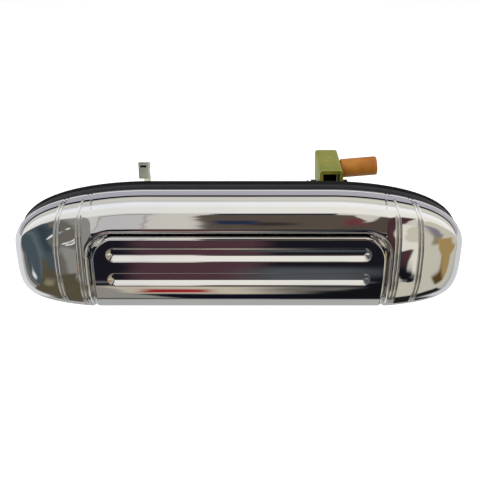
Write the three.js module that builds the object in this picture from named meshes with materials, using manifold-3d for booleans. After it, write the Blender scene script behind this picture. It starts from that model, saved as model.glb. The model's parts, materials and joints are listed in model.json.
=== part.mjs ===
// Lift-flap outside door handle. Millimetres; X to the right, Y into the door, Z up.
// The origin is the middle of the plane where the gasket sits on the door skin.
import * as THREE from "three";
import { mergeVertices } from "three/addons/utils/BufferGeometryUtils.js";
import { LoftGeometry } from "three/addons/geometries/LoftGeometry.js";
import Module from "manifold-3d";

const wasm = await Module();
wasm.setup();

// ---- driving dimensions ----
const LENGTH = 222.4;
const TOP = 30.5;
const BOTTOM = -31;
const DEPTH = 30; // front of the bezel, ahead of the door skin
const CLEAR = 0.3; // between pieces that are fixed to each other
const RUN = 0.05; // radial clearance of a pin in its bore

const GASKET_THICK = 3.3;
const GASKET_WIDE = 5.5;
const PLATE_THICK = 3.4;
const RIM_DEEP = 8; // base rim, from the gasket to the chrome
const SHELL = 2.4;

const END_LONG = 39.6; // from each side of the flap to the end of the handle
const FLAP_GAP = 0.9;
const NOSE_R = 5.3;
const PIVOT_R = 1.95;
const ARM_IN = 22.1; // middle of an arm, in from the side of the flap
const ARM_THICK = 2.5;
const POCKET_IN = 9; // side of the finger pocket, in from the middle of an arm

const LEVER_WIDE = 12.5;
const LEVER_SHEET = 1.8;
const LEVER_PIN_R = 2.5;
const ROD_CLIP_R = 5.2;
const ROD_CLIP_LONG = 20.6;

// ---- planes and centres that follow from them ----
const halfLength = LENGTH / 2;
const flapHalf = halfLength - END_LONG;
const armX = flapHalf - ARM_IN;
const pocketHalf = armX - POCKET_IN;
const midZ = (TOP + BOTTOM) / 2;
const gasketFront = -GASKET_THICK;
const plateRear = gasketFront - CLEAR;
const plateFront = plateRear - PLATE_THICK;
const flangeY = plateRear - RIM_DEEP - CLEAR;
const spineHalf = flapHalf - 1.6;
const pivot = { y: -DEPTH + NOSE_R + 1.4, z: 8 };
const flapTop = pivot.z + NOSE_R;
const openHalf = flapHalf + FLAP_GAP;
const openTop = flapTop + FLAP_GAP;
const lever = { x: armX, y: 34, z: 11 };
const push = { y: lever.y - 28, z: lever.z - 2.6, r: 2 };
const armUnder = push.z + push.r + 0.4;

const group = new THREE.Group();
group.name = "door_handle";

// ---- small tools ----
function solid(geometry) {
  const g = mergeVertices(
    new THREE.BufferGeometry().setAttribute(
      "position",
      (geometry.index ? geometry.toNonIndexed() : geometry).getAttribute("position"),
    ),
    1e-4,
  );
  return new wasm.Manifold(
    new wasm.Mesh({
      numProp: 3,
      vertProperties: new Float32Array(g.attributes.position.array),
      triVerts: new Uint32Array(g.index.array),
    }),
  );
}

function join(...solids) {
  return solids.reduce((all, one) => all.add(one));
}

function cut(body, ...tools) {
  return tools.reduce((left, tool) => left.subtract(tool), body);
}

function add(name, body, color, roughness = 0.4, metalness = 0) {
  const m = body.getMesh();
  const g = new THREE.BufferGeometry();
  g.setAttribute("position", new THREE.BufferAttribute(new Float32Array(m.vertProperties), 3));
  g.setIndex(new THREE.BufferAttribute(new Uint32Array(m.triVerts), 1));
  const mesh = new THREE.Mesh(g, new THREE.MeshStandardMaterial({ color, roughness, metalness }));
  mesh.name = name;
  group.add(mesh);
  return mesh;
}

// A shape drawn in X and Z, from yRear forward to yFront.
function plateXZ(shape, yRear, yFront, curve = 8) {
  const g = new THREE.ExtrudeGeometry(shape, {
    depth: yRear - yFront,
    bevelEnabled: false,
    curveSegments: curve,
  });
  g.rotateX(Math.PI / 2);
  g.translate(0, yRear, 0);
  return solid(g);
}

const sectionBasis = new THREE.Matrix4().makeBasis(
  new THREE.Vector3(0, 1, 0),
  new THREE.Vector3(0, 0, 1),
  new THREE.Vector3(1, 0, 0),
);

// A shape drawn in Y and Z, from x0 to x1.
function plateYZ(shape, x0, x1, curve = 8) {
  const g = new THREE.ExtrudeGeometry(shape, {
    depth: x1 - x0,
    bevelEnabled: false,
    curveSegments: curve,
  });
  g.applyMatrix4(sectionBasis);
  g.translate(x0, 0, 0);
  return solid(g);
}

function box(x0, x1, y0, y1, z0, z1) {
  const g = new THREE.BoxGeometry(x1 - x0, y1 - y0, z1 - z0);
  g.translate((x0 + x1) / 2, (y0 + y1) / 2, (z0 + z1) / 2);
  return solid(g);
}

function rodX(r, x0, x1, y, z, sides = 20) {
  const g = new THREE.CylinderGeometry(r, r, x1 - x0, sides);
  g.rotateZ(Math.PI / 2);
  g.translate((x0 + x1) / 2, y, z);
  return solid(g);
}

function rodY(r, y0, y1, x, z, sides = 20) {
  const g = new THREE.CylinderGeometry(r, r, y1 - y0, sides);
  g.translate(x, (y0 + y1) / 2, z);
  return solid(g);
}

// A turned piece: pairs of radius and height, on an axis through the origin along +Y.
function turned(pairs, sides = 20) {
  return new THREE.LatheGeometry(
    pairs.map(([r, h]) => new THREE.Vector2(r, h)),
    sides,
  );
}

function turnedX(pairs, y, z, sides = 20) {
  const g = turned(pairs, sides);
  g.rotateZ(-Math.PI / 2);
  g.translate(0, y, z);
  return solid(g);
}

function turnedY(pairs, x, z, sides = 20) {
  const g = turned(pairs, sides);
  g.translate(x, 0, z);
  return solid(g);
}

function mirrorX(body) {
  return body.mirror([1, 0, 0]);
}

function polygon(points) {
  return new THREE.Shape(points.map(([a, b]) => new THREE.Vector2(a, b)));
}

function roundedRect(x0, x1, z0, z1, r) {
  const s = new THREE.Shape();
  s.moveTo(x0 + r, z0);
  s.lineTo(x1 - r, z0);
  s.absarc(x1 - r, z0 + r, r, -Math.PI / 2, 0);
  s.lineTo(x1, z1 - r);
  s.absarc(x1 - r, z1 - r, r, 0, Math.PI / 2);
  s.lineTo(x0 + r, z1);
  s.absarc(x0 + r, z1 - r, r, Math.PI / 2, Math.PI);
  s.lineTo(x0, z0 + r);
  s.absarc(x0 + r, z0 + r, r, Math.PI, Math.PI * 1.5);
  return s;
}

// A wire along a list of points, with flat ends.
function wire(points, r, steps, sides = 5) {
  const path = new THREE.CatmullRomCurve3(points, false, "centripetal");
  const ring = new THREE.Shape();
  for (let i = 0; i < sides; i += 1) {
    const a = (i / sides) * Math.PI * 2;
    if (i === 0) ring.moveTo(r * Math.cos(a), r * Math.sin(a));
    else ring.lineTo(r * Math.cos(a), r * Math.sin(a));
  }
  return solid(new THREE.ExtrudeGeometry(ring, { extrudePath: path, steps, bevelEnabled: false }));
}

// ---- outline of the handle on the door: flat top and bottom, sloping shoulders, round ends ----
const endZ = midZ + 2;
const shoulder = { flat: END_LONG + 27.4, pull: 19, drop: 3.5 };
const sole = { flat: END_LONG + 7.2, past: 2, rise: 9.5 };
const upperEnd = new THREE.CubicBezierCurve(
  new THREE.Vector2(halfLength - shoulder.flat, TOP),
  new THREE.Vector2(halfLength - shoulder.flat + shoulder.pull, TOP),
  new THREE.Vector2(halfLength, TOP - shoulder.drop),
  new THREE.Vector2(halfLength, endZ),
);
const lowerEnd = new THREE.CubicBezierCurve(
  new THREE.Vector2(halfLength, endZ),
  new THREE.Vector2(halfLength, BOTTOM + sole.rise),
  new THREE.Vector2(halfLength + sole.past, BOTTOM),
  new THREE.Vector2(halfLength - sole.flat, BOTTOM),
);
const rightHalf = [...upperEnd.getPoints(10), ...lowerEnd.getPoints(9).slice(1)];
const leftHalf = rightHalf.map((p) => new THREE.Vector2(-p.x, p.y)).reverse();
const outline = [...rightHalf, ...leftHalf].reverse(); // counterclockwise seen from the front

// The point of the handle's spine that an outline point looks at.
function foot(p) {
  return new THREE.Vector2(THREE.MathUtils.clamp(p.x, -spineHalf, spineHalf), midZ);
}

function endShare(p) {
  return THREE.MathUtils.smoothstep(Math.abs(p.x), spineHalf - 4, spineHalf + 34);
}

const sideWall = DEPTH - 13.5;
const endWall = DEPTH - 15.5;

// How far the dome stands ahead of the door, at a distance in from the edge.
function domeDepth(distance, e, reach) {
  const wall = THREE.MathUtils.lerp(sideWall, endWall, e);
  const span = THREE.MathUtils.lerp(16, reach * 0.98, e);
  const t = Math.min(1, distance / span);
  return wall + (DEPTH - wall) * Math.sqrt(1 - (1 - t) ** THREE.MathUtils.lerp(2, 2.2, e));
}

function inward(p, distance) {
  const f = foot(p);
  return p.clone().lerp(f, distance / p.distanceTo(f));
}

function outlineShape(inset) {
  return new THREE.Shape(outline.map((p) => inward(p, inset)));
}

// The domed body: its edge wall from yRear, then rings that close over the front.
function domeSolid(inset, sink, yRear, fine = true) {
  const shares = fine
    ? [0, 0.012, 0.04, 0.09, 0.17, 0.28, 0.42, 0.64, 0.96]
    : [0, 0.04, 0.15, 0.42, 0.96];
  const edge = outline.map((p) => inward(p, inset));
  const rings = [edge.map((p) => new THREE.Vector3(p.x, yRear, p.y))];
  shares.forEach((share) => {
    rings.push(
      outline.map((p) => {
        const reach = p.distanceTo(foot(p));
        const q = inward(p, inset + 0.25 + (reach - inset - 0.25) * share);
        const depth = domeDepth((reach - inset) * share, endShare(p), reach);
        return new THREE.Vector3(q.x, -(depth - sink), q.y);
      }),
    );
  });
  return solid(new LoftGeometry(rings, { capStart: true, capEnd: true }));
}

// Depth of the dome at any place on its front.
function depthAt(x, z) {
  const f = foot({ x, y: z });
  const dir = new THREE.Vector2(x, z).sub(f);
  const length = dir.length();
  let near = outline[0];
  let best = Infinity;
  for (let i = 0; i < outline.length; i += 1) {
    const a = outline[i];
    const b = outline[(i + 1) % outline.length];
    for (let k = 0; k < 8; k += 1) {
      const c = a.clone().lerp(b, k / 8);
      const d = c.clone().sub(f);
      const off = Math.abs(d.cross(dir)) / length;
      if (d.dot(dir) > 0 && off < best) {
        best = off;
        near = c;
      }
    }
  }
  const reach = near.distanceTo(f);
  return domeDepth(Math.max(0, reach - length), endShare(near), reach);
}

function edgeZ(x, upper) {
  const curve = upper ? upperEnd : lowerEnd;
  let low = 0;
  let high = 1;
  if (x < halfLength - (upper ? shoulder : sole).flat) return upper ? TOP : BOTTOM;
  for (let i = 0; i < 30; i += 1) {
    const mid = (low + high) / 2;
    const past = curve.getPoint(mid).x < x === upper;
    if (past) low = mid;
    else high = mid;
  }
  return curve.getPoint(low).y;
}

// ---- bezel: a chromed shell with the flap's opening ----
const openCorner = 12.4;

// A rounded-top outline of the opening, grown by side and by top.
function openingRing(side, top, y) {
  const h = openHalf + side;
  const r = openCorner + side;
  const pts = [new THREE.Vector3(-h, y, BOTTOM - 12), new THREE.Vector3(h, y, BOTTOM - 12)];
  for (let i = 0; i <= 7; i += 1) {
    const a = (i / 7) * (Math.PI / 2);
    pts.push(
      new THREE.Vector3(h - r + r * Math.cos(a), y, openTop + top - r + r * Math.sin(a)),
    );
  }
  for (let i = 0; i <= 7; i += 1) {
    const a = Math.PI / 2 + (i / 7) * (Math.PI / 2);
    pts.push(
      new THREE.Vector3(-h + r + r * Math.cos(a), y, openTop + top - r + r * Math.sin(a)),
    );
  }
  return pts;
}

const lipSide = 1.7;
const lipTop = 3.4;
const lipRings = [openingRing(0, 0, 5)];
for (let i = 0; i <= 5; i += 1) {
  const a = (i / 5) * (Math.PI / 2);
  lipRings.push(
    openingRing(
      lipSide * (1 - Math.cos(a)),
      lipTop * (1 - Math.cos(a)),
      -DEPTH + 0.2 + 3 * (1 - Math.sin(a)),
    ),
  );
}
lipRings.push(openingRing(lipSide, lipTop, -DEPTH - 12));
const openingCutter = solid(new LoftGeometry(lipRings, { capStart: true, capEnd: true }));

// A narrow groove round the front at x, leaning to the middle as it goes back.
function grooveCutter(x, wide, deep) {
  const path = [];
  const upperZ = edgeZ(x, true);
  const lowerZ = edgeZ(x, false);
  const stations = 9;
  path.push({ y: flangeY + 2, z: upperZ + 0.1, ny: 0, nz: 1 });
  for (let i = 0; i <= stations; i += 1) {
    const t = i / stations;
    const k = 0.5 - 0.5 * Math.cos(Math.PI * t);
    const z = THREE.MathUtils.lerp(upperZ - 0.35, lowerZ + 0.35, k);
    const h = 0.2;
    const slope = (depthAt(x, z + h) - depthAt(x, z - h)) / (2 * h);
    const length = Math.hypot(1, slope);
    path.push({ y: -depthAt(x, z), z, ny: -1 / length, nz: -slope / length });
  }
  path.push({ y: flangeY + 2, z: lowerZ - 0.1, ny: 0, nz: -1 });
  const rings = path.map((p) => {
    const lean = 0.22 * Math.max(0, p.y + DEPTH);
    const ring = [];
    [
      [-wide / 2, 0.8],
      [-wide / 3, -deep],
      [wide / 3, -deep],
      [wide / 2, 0.8],
    ].forEach(([dx, dn]) => {
      ring.push(new THREE.Vector3(x + dx - lean, p.y + dn * p.ny, p.z + dn * p.nz));
    });
    return ring;
  });
  return solid(new LoftGeometry(rings, { capStart: true, capEnd: true }));
}

const domeOuter = domeSolid(0, 0, flangeY);
const domeInner = domeSolid(SHELL, SHELL, flangeY + 1, false);
const bossR = 3.8;
const screwX = openHalf + 0.215 * END_LONG;
const screwAt = [
  [screwX, pivot.z + 7],
  [screwX, BOTTOM + 12],
];
const screwTip = -DEPTH + 11.6;
const lugLong = 6;
const cheekThick = 2.5;
const bossFront = plateFront - CLEAR;
const pinRoom = rodX(
  PIVOT_R + RUN / 2,
  openHalf - 1,
  openHalf + lugLong + 1,
  pivot.y,
  pivot.z,
);

function bezelInside() {
  const pieces = [
    box(openHalf, openHalf + cheekThick, -DEPTH, bossFront, BOTTOM + 3, TOP - 6),
    rodX(5, openHalf, openHalf + lugLong, pivot.y, pivot.z),
  ];
  screwAt.forEach(([x, z]) => pieces.push(rodY(bossR, -DEPTH, bossFront, x, z)));
  return pieces;
}

let bezel = cut(domeOuter, domeInner);
const rimOuter = 0.7;
const rimWall = 2.4;
const withinRim = domeSolid(rimOuter + rimWall + CLEAR, 1, bossFront, false);
const insideRight = bezelInside().map((one) => one.intersect(withinRim));
bezel = join(bezel, ...insideRight, ...insideRight.map(mirrorX));
const headRoom = rodX(4.3, openHalf + lugLong, openHalf + lugLong + 5, pivot.y, pivot.z);
bezel = cut(bezel, openingCutter, pinRoom, mirrorX(pinRoom), headRoom, mirrorX(headRoom));
screwAt.forEach(([x, z]) => {
  [x, -x].forEach((sx) => {
    bezel = cut(bezel, rodY(1.9, screwTip - 1.1, 0, sx, z, 16));
  });
});
const grooveX = [openHalf + 3.8, openHalf + 15.3];
grooveX.forEach((x) => {
  [-0.85, 0.85].forEach((dx) => {
    const g = grooveCutter(x + dx, 0.8, 0.45);
    bezel = cut(bezel, g, mirrorX(g));
  });
});
add("bezel", bezel, 0xd9dadc, 0.08, 1);

// ---- base frame: black moulding behind the chrome ----
const rim = new THREE.Shape(outlineShape(rimOuter).getPoints());
rim.holes.push(new THREE.Path(outlineShape(rimOuter + rimWall).getPoints()));
const trayBottom = BOTTOM + 8;
const trayTop = 4;
const plate = outlineShape(rimOuter);
const slotHigh = armUnder + 9.7;
const slotLow = pivot.z - NOSE_R - 4.2;
const slotHalf = 3.2;
const earInner = LEVER_WIDE / 2 + 1;
const earThick = 2.5;
const earR = 6.3;
const towerAt = { x: flapHalf - 7.6, y: pivot.y + 3.7, z: BOTTOM + 14 };
const studAt = { x: halfLength - 17.2, z: -2 };
const studR = 3;

let base = join(
  plateXZ(rim, plateRear - 1, flangeY + CLEAR, 4),
  plateXZ(plate, plateRear, plateFront, 4),
);
base = cut(
  base,
  box(-openHalf - 3, openHalf + 3, flangeY - 1, plateFront, BOTTOM - 2, BOTTOM + 10),
  plateXZ(
    roundedRect(-pocketHalf - CLEAR, pocketHalf + CLEAR, trayBottom - CLEAR, trayTop + CLEAR, 8),
    2,
    plateFront - 1,
    5,
  ),
);

function ear(x0) {
  const s = new THREE.Shape();
  s.moveTo(plateRear - 1, lever.z - earR);
  s.lineTo(lever.y, lever.z - earR);
  s.absarc(lever.y, lever.z, earR, -Math.PI / 2, Math.PI / 2);
  s.lineTo(plateRear - 1, lever.z + earR + 4);
  return plateYZ(s, x0, x0 + earThick, 7);
}

const earLeft = lever.x - earInner - earThick;
const earRight = lever.x + earInner;
base = join(base, ear(earLeft), ear(earRight));
// the ledge that the lever's return spring bears on
const ledge = { y: lever.y - 18, z: lever.z + 3.1 };
base = join(base, box(earLeft - 4, earLeft + 0.5, ledge.y - 1.5, ledge.y + 1.5, ledge.z - 2, ledge.z));
[-1, 1].forEach((side) => {
  const x = side * towerAt.x;
  base = join(
    base,
    rodY(3.8, towerAt.y, plateFront + 1, x, towerAt.z, 20),
    rodY(6.5, plateRear - 1, -0.9, side * studAt.x, studAt.z, 24),
  );
  base = cut(
    base,
    box(side * armX - slotHalf, side * armX + slotHalf, plateFront - 1, plateRear + 1, slotLow, slotHigh),
    rodY(1.6, towerAt.y - 1, towerAt.y + 7.6, x, towerAt.z, 16),
    rodY(studR + RUN / 2, plateFront - 1, 1, side * studAt.x, studAt.z, 24),
  );
  screwAt.forEach(([sx, z]) => {
    base = cut(base, rodY(2.1, plateFront - 1, 1, side * sx, z, 16));
  });
});
base = cut(base, rodX(LEVER_PIN_R + RUN / 2, earLeft - 1, earRight + earThick + 1, lever.y, lever.z));
add("base_frame", base, 0x17181b, 0.55);

// ---- gasket under the base ----
const gasketShape = new THREE.Shape(outlineShape(1.2).getPoints());
gasketShape.holes.push(new THREE.Path(outlineShape(1.2 + GASKET_WIDE).getPoints()));
const bead = new THREE.Shape(outlineShape(0).getPoints());
bead.holes.push(new THREE.Path(outlineShape(3.2).getPoints()));
add(
  "gasket",
  join(plateXZ(gasketShape, 0, gasketFront, 4), plateXZ(bead, 0, -1.4, 4)),
  0x0e0e10,
  0.85,
);

// ---- finger pocket tray, snapped into the window of the base ----
const trayDeep = 11.6;
const trayRear = plateRear + trayDeep;
const trayWall = 1.8;
const trayFront = plateFront - CLEAR - 1.3;

// A closed ring with round corners, in X and Z, at depth y.
function rectRing(x0, x1, z0, z1, r, y, steps = 5) {
  const ring = [];
  [
    [x1 - r, z0 + r, -0.5],
    [x1 - r, z1 - r, 0],
    [x0 + r, z1 - r, 0.5],
    [x0 + r, z0 + r, 1],
  ].forEach(([cx, cz, turn]) => {
    for (let i = 0; i <= steps; i += 1) {
      const a = (turn + (0.5 * i) / steps) * Math.PI;
      ring.push(new THREE.Vector3(cx + r * Math.cos(a), y, cz + r * Math.sin(a)));
    }
  });
  return ring;
}

function trayRing(grow, y, taper) {
  return rectRing(
    -pocketHalf - grow + taper,
    pocketHalf + grow - taper,
    trayBottom - grow + taper,
    trayTop + grow - taper,
    8 + Math.min(0, grow - taper),
    y,
  );
}

function ringLoft(rings) {
  return solid(new LoftGeometry(rings, { capStart: true, capEnd: true }));
}

let tray = ringLoft([
  trayRing(-0.1, trayRear, 4.5),
  trayRing(-0.1, trayRear - 3, 1),
  trayRing(-0.1, plateRear, 0),
  trayRing(-0.1, trayFront, 0),
]);
tray = join(tray, ringLoft([trayRing(3, trayFront + 1.3, 0), trayRing(2.6, trayFront, 0)]));
tray = cut(
  tray,
  ringLoft([
    trayRing(-0.1 - trayWall, trayRear - trayWall, 4.5),
    trayRing(-0.1 - trayWall, trayRear - trayWall - 2.6, 1),
    trayRing(-0.1 - trayWall, plateRear, 0),
    trayRing(-0.1 - trayWall, trayFront - 1, -1),
  ]),
);
add("pocket_tray", tray, 0x1b1c1f, 0.6);

// ---- flap: chromed lifting paddle ----
const faceCurve = new THREE.CubicBezierCurve(
  new THREE.Vector2(pivot.y - NOSE_R, pivot.z),
  new THREE.Vector2(pivot.y - NOSE_R - 2.6, pivot.z - 19),
  new THREE.Vector2(pivot.y - NOSE_R + 0.4, BOTTOM + 4),
  new THREE.Vector2(pivot.y + 3.7, BOTTOM + 1),
);
const skin = 3.6;
const noseLow = (-115 / 180) * Math.PI;
const nosePoint = (a, r = NOSE_R) =>
  new THREE.Vector2(pivot.y + r * Math.cos(a), pivot.z + r * Math.sin(a));
const innerTop = nosePoint(noseLow);
const innerCurve = new THREE.CubicBezierCurve(
  new THREE.Vector2(pivot.y + 3.9, BOTTOM + 3.3),
  new THREE.Vector2(pivot.y - 1, BOTTOM + 5.5),
  new THREE.Vector2(pivot.y - NOSE_R - 2.2 + skin + 0.6, pivot.z - 19),
  innerTop,
);

// The flap's section, with its outer side pulled in near the ends of the flap.
function flapSection(x, pull) {
  const pts = [];
  for (let i = 0; i <= 15; i += 1) {
    pts.push(nosePoint(THREE.MathUtils.lerp(noseLow, Math.PI, i / 15), NOSE_R - pull));
  }
  faceCurve.getPoints(14).slice(1).forEach((p) => pts.push(p.clone().add({ x: pull, y: 0 })));
  innerCurve.getPoints(10).slice(0, -1).forEach((p) => pts.push(p));
  return pts.map((p) => new THREE.Vector3(x, p.x, p.y));
}

const edge = 1.3;
const flapStations = [
  [-flapHalf, edge],
  [-flapHalf + edge * 0.3, edge * 0.3],
  [-flapHalf + edge, 0],
  [flapHalf - edge, 0],
  [flapHalf - edge * 0.3, edge * 0.3],
  [flapHalf, edge],
];
let flap = solid(
  new LoftGeometry(
    flapStations.map(([x, pull]) => flapSection(x, pull)),
    { capStart: true, capEnd: true },
  ),
);
// top corners of the flap, seen from the front
const cornerR = openCorner + 0.1;
const flapFront = new THREE.Shape();
flapFront.moveTo(-flapHalf - 1, BOTTOM - 2);
flapFront.lineTo(flapHalf + 1, BOTTOM - 2);
flapFront.lineTo(flapHalf + 1, flapTop - cornerR);
flapFront.absarc(flapHalf - cornerR, flapTop - cornerR, cornerR + 0.02, 0, Math.PI / 2);
flapFront.lineTo(-flapHalf + cornerR, flapTop + 0.02);
flapFront.absarc(-flapHalf + cornerR, flapTop - cornerR, cornerR + 0.02, Math.PI / 2, Math.PI);
flapFront.lineTo(-flapHalf - 1, flapTop - cornerR);
const cornered = plateXZ(flapFront, pivot.y, -DEPTH - 2, 7);
const behind = box(-flapHalf - 1, flapHalf + 1, pivot.y - 0.01, 0, BOTTOM - 2, flapTop + 2);
flap = join(flap.intersect(cornered), flap.intersect(behind));

function stadium(half, z0, z1, shrink, y) {
  const r = (z1 - z0) / 2 - shrink - 0.02;
  return rectRing(-half + shrink, half - shrink, z0 + shrink, z1 - shrink, r, y);
}

const slotDeep = 2;
const slotHalfLong = flapHalf - 7.6;
const slotWide = 7.5;
const slots = [pivot.z - 4.5, pivot.z - 17.8].map((z) => ({
  low: z - slotWide / 2,
  high: z + slotWide / 2,
}));
slots.forEach(({ low, high }) => {
  const floor = pivot.y - NOSE_R - 0.6 + slotDeep;
  flap = cut(
    flap,
    ringLoft([
      stadium(slotHalfLong, low, high, 1.3, floor),
      stadium(slotHalfLong, low, high, 0.4, floor - 0.7),
      stadium(slotHalfLong, low, high, 0, -DEPTH - 2),
    ]),
  );
});
// pads for the arms, bores and the spring windows in the nose
const padRear = pivot.y + 0.6;
const armFoot = {
  x0: armX + ARM_THICK / 2,
  x1: armX + 13,
  z0: pivot.z - NOSE_R - 15.7,
  z1: pivot.z - NOSE_R - 4.2,
};
const footScrewX = (armFoot.x0 + armFoot.x1) / 2 + 0.8;
const footScrewZ = [armFoot.z0 + 2.9, armFoot.z1 - 2.9];
const springX = armX - 21.5;
const coilRoom = { r: 4.35, half: 6.5 };
const bushR = 3.3;
const bushLong = 8;
[-1, 1].forEach((side) => {
  const a = side * armFoot.x0;
  const b = side * armFoot.x1;
  flap = join(
    flap,
    box(Math.min(a, b), Math.max(a, b), pivot.y - 3.2, padRear, armFoot.z0, armFoot.z1),
  );
  footScrewZ.forEach((z) => {
    flap = cut(flap, rodY(1.45, pivot.y - 2, padRear + 1, side * footScrewX, z, 14));
  });
  const x = side * springX;
  flap = cut(
    flap,
    rodX(coilRoom.r, x - coilRoom.half, x + coilRoom.half, pivot.y, pivot.z, 20),
    box(x - coilRoom.half, x + coilRoom.half, pivot.y, pivot.y + 8, pivot.z - 6, pivot.z + 4.35),
    rodX(bushR + RUN / 2, side > 0 ? flapHalf - bushLong : -flapHalf - 1,
      side > 0 ? flapHalf + 1 : -flapHalf + bushLong, pivot.y, pivot.z, 20),
  );
});
flap = cut(flap, rodX(2.3, -flapHalf - 1, flapHalf + 1, pivot.y, pivot.z, 20));
add("flap", flap, 0xdcdde0, 0.07, 1);

// ---- flap bushes ----
[["left", -1], ["right", 1]].forEach(([side, sign]) => {
  const inner = flapHalf - bushLong + CLEAR;
  let bush = join(
    rodX(bushR - RUN / 2, inner, flapHalf + 0.1, pivot.y, pivot.z, 20),
    rodX(bushR + 0.25, flapHalf + 0.1, openHalf - 0.15, pivot.y, pivot.z, 20),
  );
  bush = cut(bush, rodX(PIVOT_R + RUN, inner - 1, openHalf + 1, pivot.y, pivot.z, 20));
  add("flap_bush_" + side, sign < 0 ? mirrorX(bush) : bush, 0xe8e4d8, 0.5);
});

// ---- pivot pin and its retaining clip ----
const pinHead = openHalf + lugLong + 0.2;
const grooveAt = openHalf + lugLong + 0.5;
add(
  "flap_pin",
  turnedX(
    [
      [0, -pinHead - 1.6],
      [2.9, -pinHead - 1.6],
      [3.3, -pinHead - 1.1],
      [3.3, -pinHead],
      [PIVOT_R, -pinHead],
      [PIVOT_R, grooveAt],
      [PIVOT_R - 0.5, grooveAt],
      [PIVOT_R - 0.5, grooveAt + 0.9],
      [PIVOT_R, grooveAt + 0.9],
      [PIVOT_R, grooveAt + 1.9],
      [PIVOT_R - 0.4, grooveAt + 2.3],
      [0, grooveAt + 2.3],
    ],
    pivot.y,
    pivot.z,
  ),
  0xb9bcc0,
  0.3,
  1,
);

function eClip(x, rIn, rOut, y, z) {
  const s = new THREE.Shape();
  const a = 0.62;
  s.absarc(0, 0, rOut, Math.PI / 2 + a, Math.PI * 2.5 - a);
  s.absarc(0, 0, rIn, Math.PI * 2.5 - a, Math.PI / 2 + a, true);
  const ring = plateYZ(s, x, x + 0.7, 8);
  return ring.translate([0, y, z]);
}

add("flap_pin_clip", eClip(grooveAt + 0.1, PIVOT_R - 0.44, 3.9, pivot.y, pivot.z), 0x8d9094, 0.35, 1);

// ---- torsion springs in the flap's nose ----
const coil = { r: 3.15, wire: 0.6, turns: 4, pitch: 1.55 };

function torsionSpring(spec, x, y, z, sign, from, to, turns) {
  const pts = [];
  const steps = Math.round(8 * turns);
  const start = from.angle;
  for (let i = 0; i <= steps; i += 1) {
    const a = start + (i / steps) * turns * Math.PI * 2;
    pts.push(
      new THREE.Vector3(
        x + sign * (i / steps - 0.5) * turns * spec.pitch,
        y + spec.r * Math.cos(a),
        z + spec.r * Math.sin(a),
      ),
    );
  }
  pts.unshift(...from.leg.map(([dx, ly, lz]) => new THREE.Vector3(pts[0].x + dx, ly, lz)));
  const last = pts[pts.length - 1];
  pts.push(...to.leg.map(([dx, ly, lz]) => new THREE.Vector3(last.x + dx, ly, lz)));
  return wire(pts, spec.wire, steps + from.leg.length + to.leg.length + 10);
}

const catchZ = -1;
[["left", -1], ["right", 1]].forEach(([side, sign]) => {
  // a fixed leg along the top to the base, a moving leg down the back of the flap
  const spring = torsionSpring(
    coil,
    sign * springX,
    pivot.y,
    pivot.z,
    sign,
    {
      angle: Math.PI / 2,
      leg: [
        [0, plateFront - 0.8, pivot.z + coil.r],
        [0, pivot.y + 5, pivot.z + coil.r],
      ],
    },
    {
      leg: [
        [0, pivot.y + coil.r + 0.1, pivot.z - 4],
        [0, pivot.y + coil.r + 0.1, catchZ - 2.5],
      ],
    },
    coil.turns - 0.5 + 0.25,
  );
  add("flap_spring_" + side, spring, 0x9a9da2, 0.3, 1);
});

// ---- inner cover of the flap, with catches for the spring legs ----
const coverHalf = armX - 5.5;
const coverPts = innerCurve.getPoints(16);
const coverOuter = coverPts.slice(2, 16).map((p, i, all) => {
  const q = all[Math.min(i + 1, all.length - 1)];
  const w = all[Math.max(i - 1, 0)];
  const n = new THREE.Vector2(q.y - w.y, w.x - q.x).normalize();
  return { p, n };
});
const coverShape = polygon([
  ...coverOuter.map(({ p, n }) => [p.x + 0.35 * n.x, p.y + 0.35 * n.y]),
  ...coverOuter.map(({ p, n }) => [p.x + 1.9 * n.x, p.y + 1.9 * n.y]).reverse(),
]);
let cover = plateYZ(coverShape, -coverHalf, coverHalf);
[-1, 1].forEach((sign) => {
  const legX = sign * (springX + (coil.turns - 0.25) * coil.pitch * 0.5);
  const y = pivot.y + coil.r + 0.1;
  const arm = join(
    box(legX - 2.5, legX - 1.1, pivot.y - 1.6, y + 2.3, catchZ - 4, catchZ),
    box(legX - 2.5, legX + 1.4, y + 0.9, y + 2.3, catchZ - 4, catchZ),
  );
  cover = join(cover, arm);
});
for (let i = -2; i <= 2; i += 1) {
  cover = join(cover, box(i * 18 - 0.6, i * 18 + 0.6, pivot.y - 1, pivot.y + 0.9, -17, -5));
}
add("flap_cover", cover, 0x222327, 0.6);

// ---- steel arms of the flap, pads screwed to its back ----
function armPlate(tail) {
  const s = new THREE.Shape();
  const footY = padRear + CLEAR;
  const clearOfNose = pivot.y + NOSE_R + 0.6;
  s.moveTo(footY, armFoot.z0);
  s.lineTo(footY + 5, armFoot.z0);
  s.lineTo(pivot.y + 11, -4);
  s.lineTo(pivot.y + 13.5, armUnder - 4.6);
  s.quadraticCurveTo(pivot.y + 14.5, armUnder, pivot.y + 19, armUnder);
  tail(s);
  s.lineTo(pivot.y + NOSE_R + 4.2, armUnder + 7);
  s.quadraticCurveTo(clearOfNose, armUnder + 6.5, clearOfNose, armUnder + 3);
  s.lineTo(clearOfNose, pivot.z - NOSE_R - 1.1);
  s.lineTo(footY, pivot.z - NOSE_R - 4.2);
  return s;
}

function armWith(tail) {
  const footY = padRear + CLEAR;
  let arm = join(
    plateYZ(armPlate(tail), armX - ARM_THICK / 2, armX + ARM_THICK / 2, 6),
    box(armFoot.x0 - 0.5, armFoot.x1, footY, footY + 2, armFoot.z0, armFoot.z1),
  );
  footScrewZ.forEach((z) => {
    arm = cut(arm, rodY(1.8, footY - 1, footY + 3, footScrewX, z, 14));
  });
  return arm;
}

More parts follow.
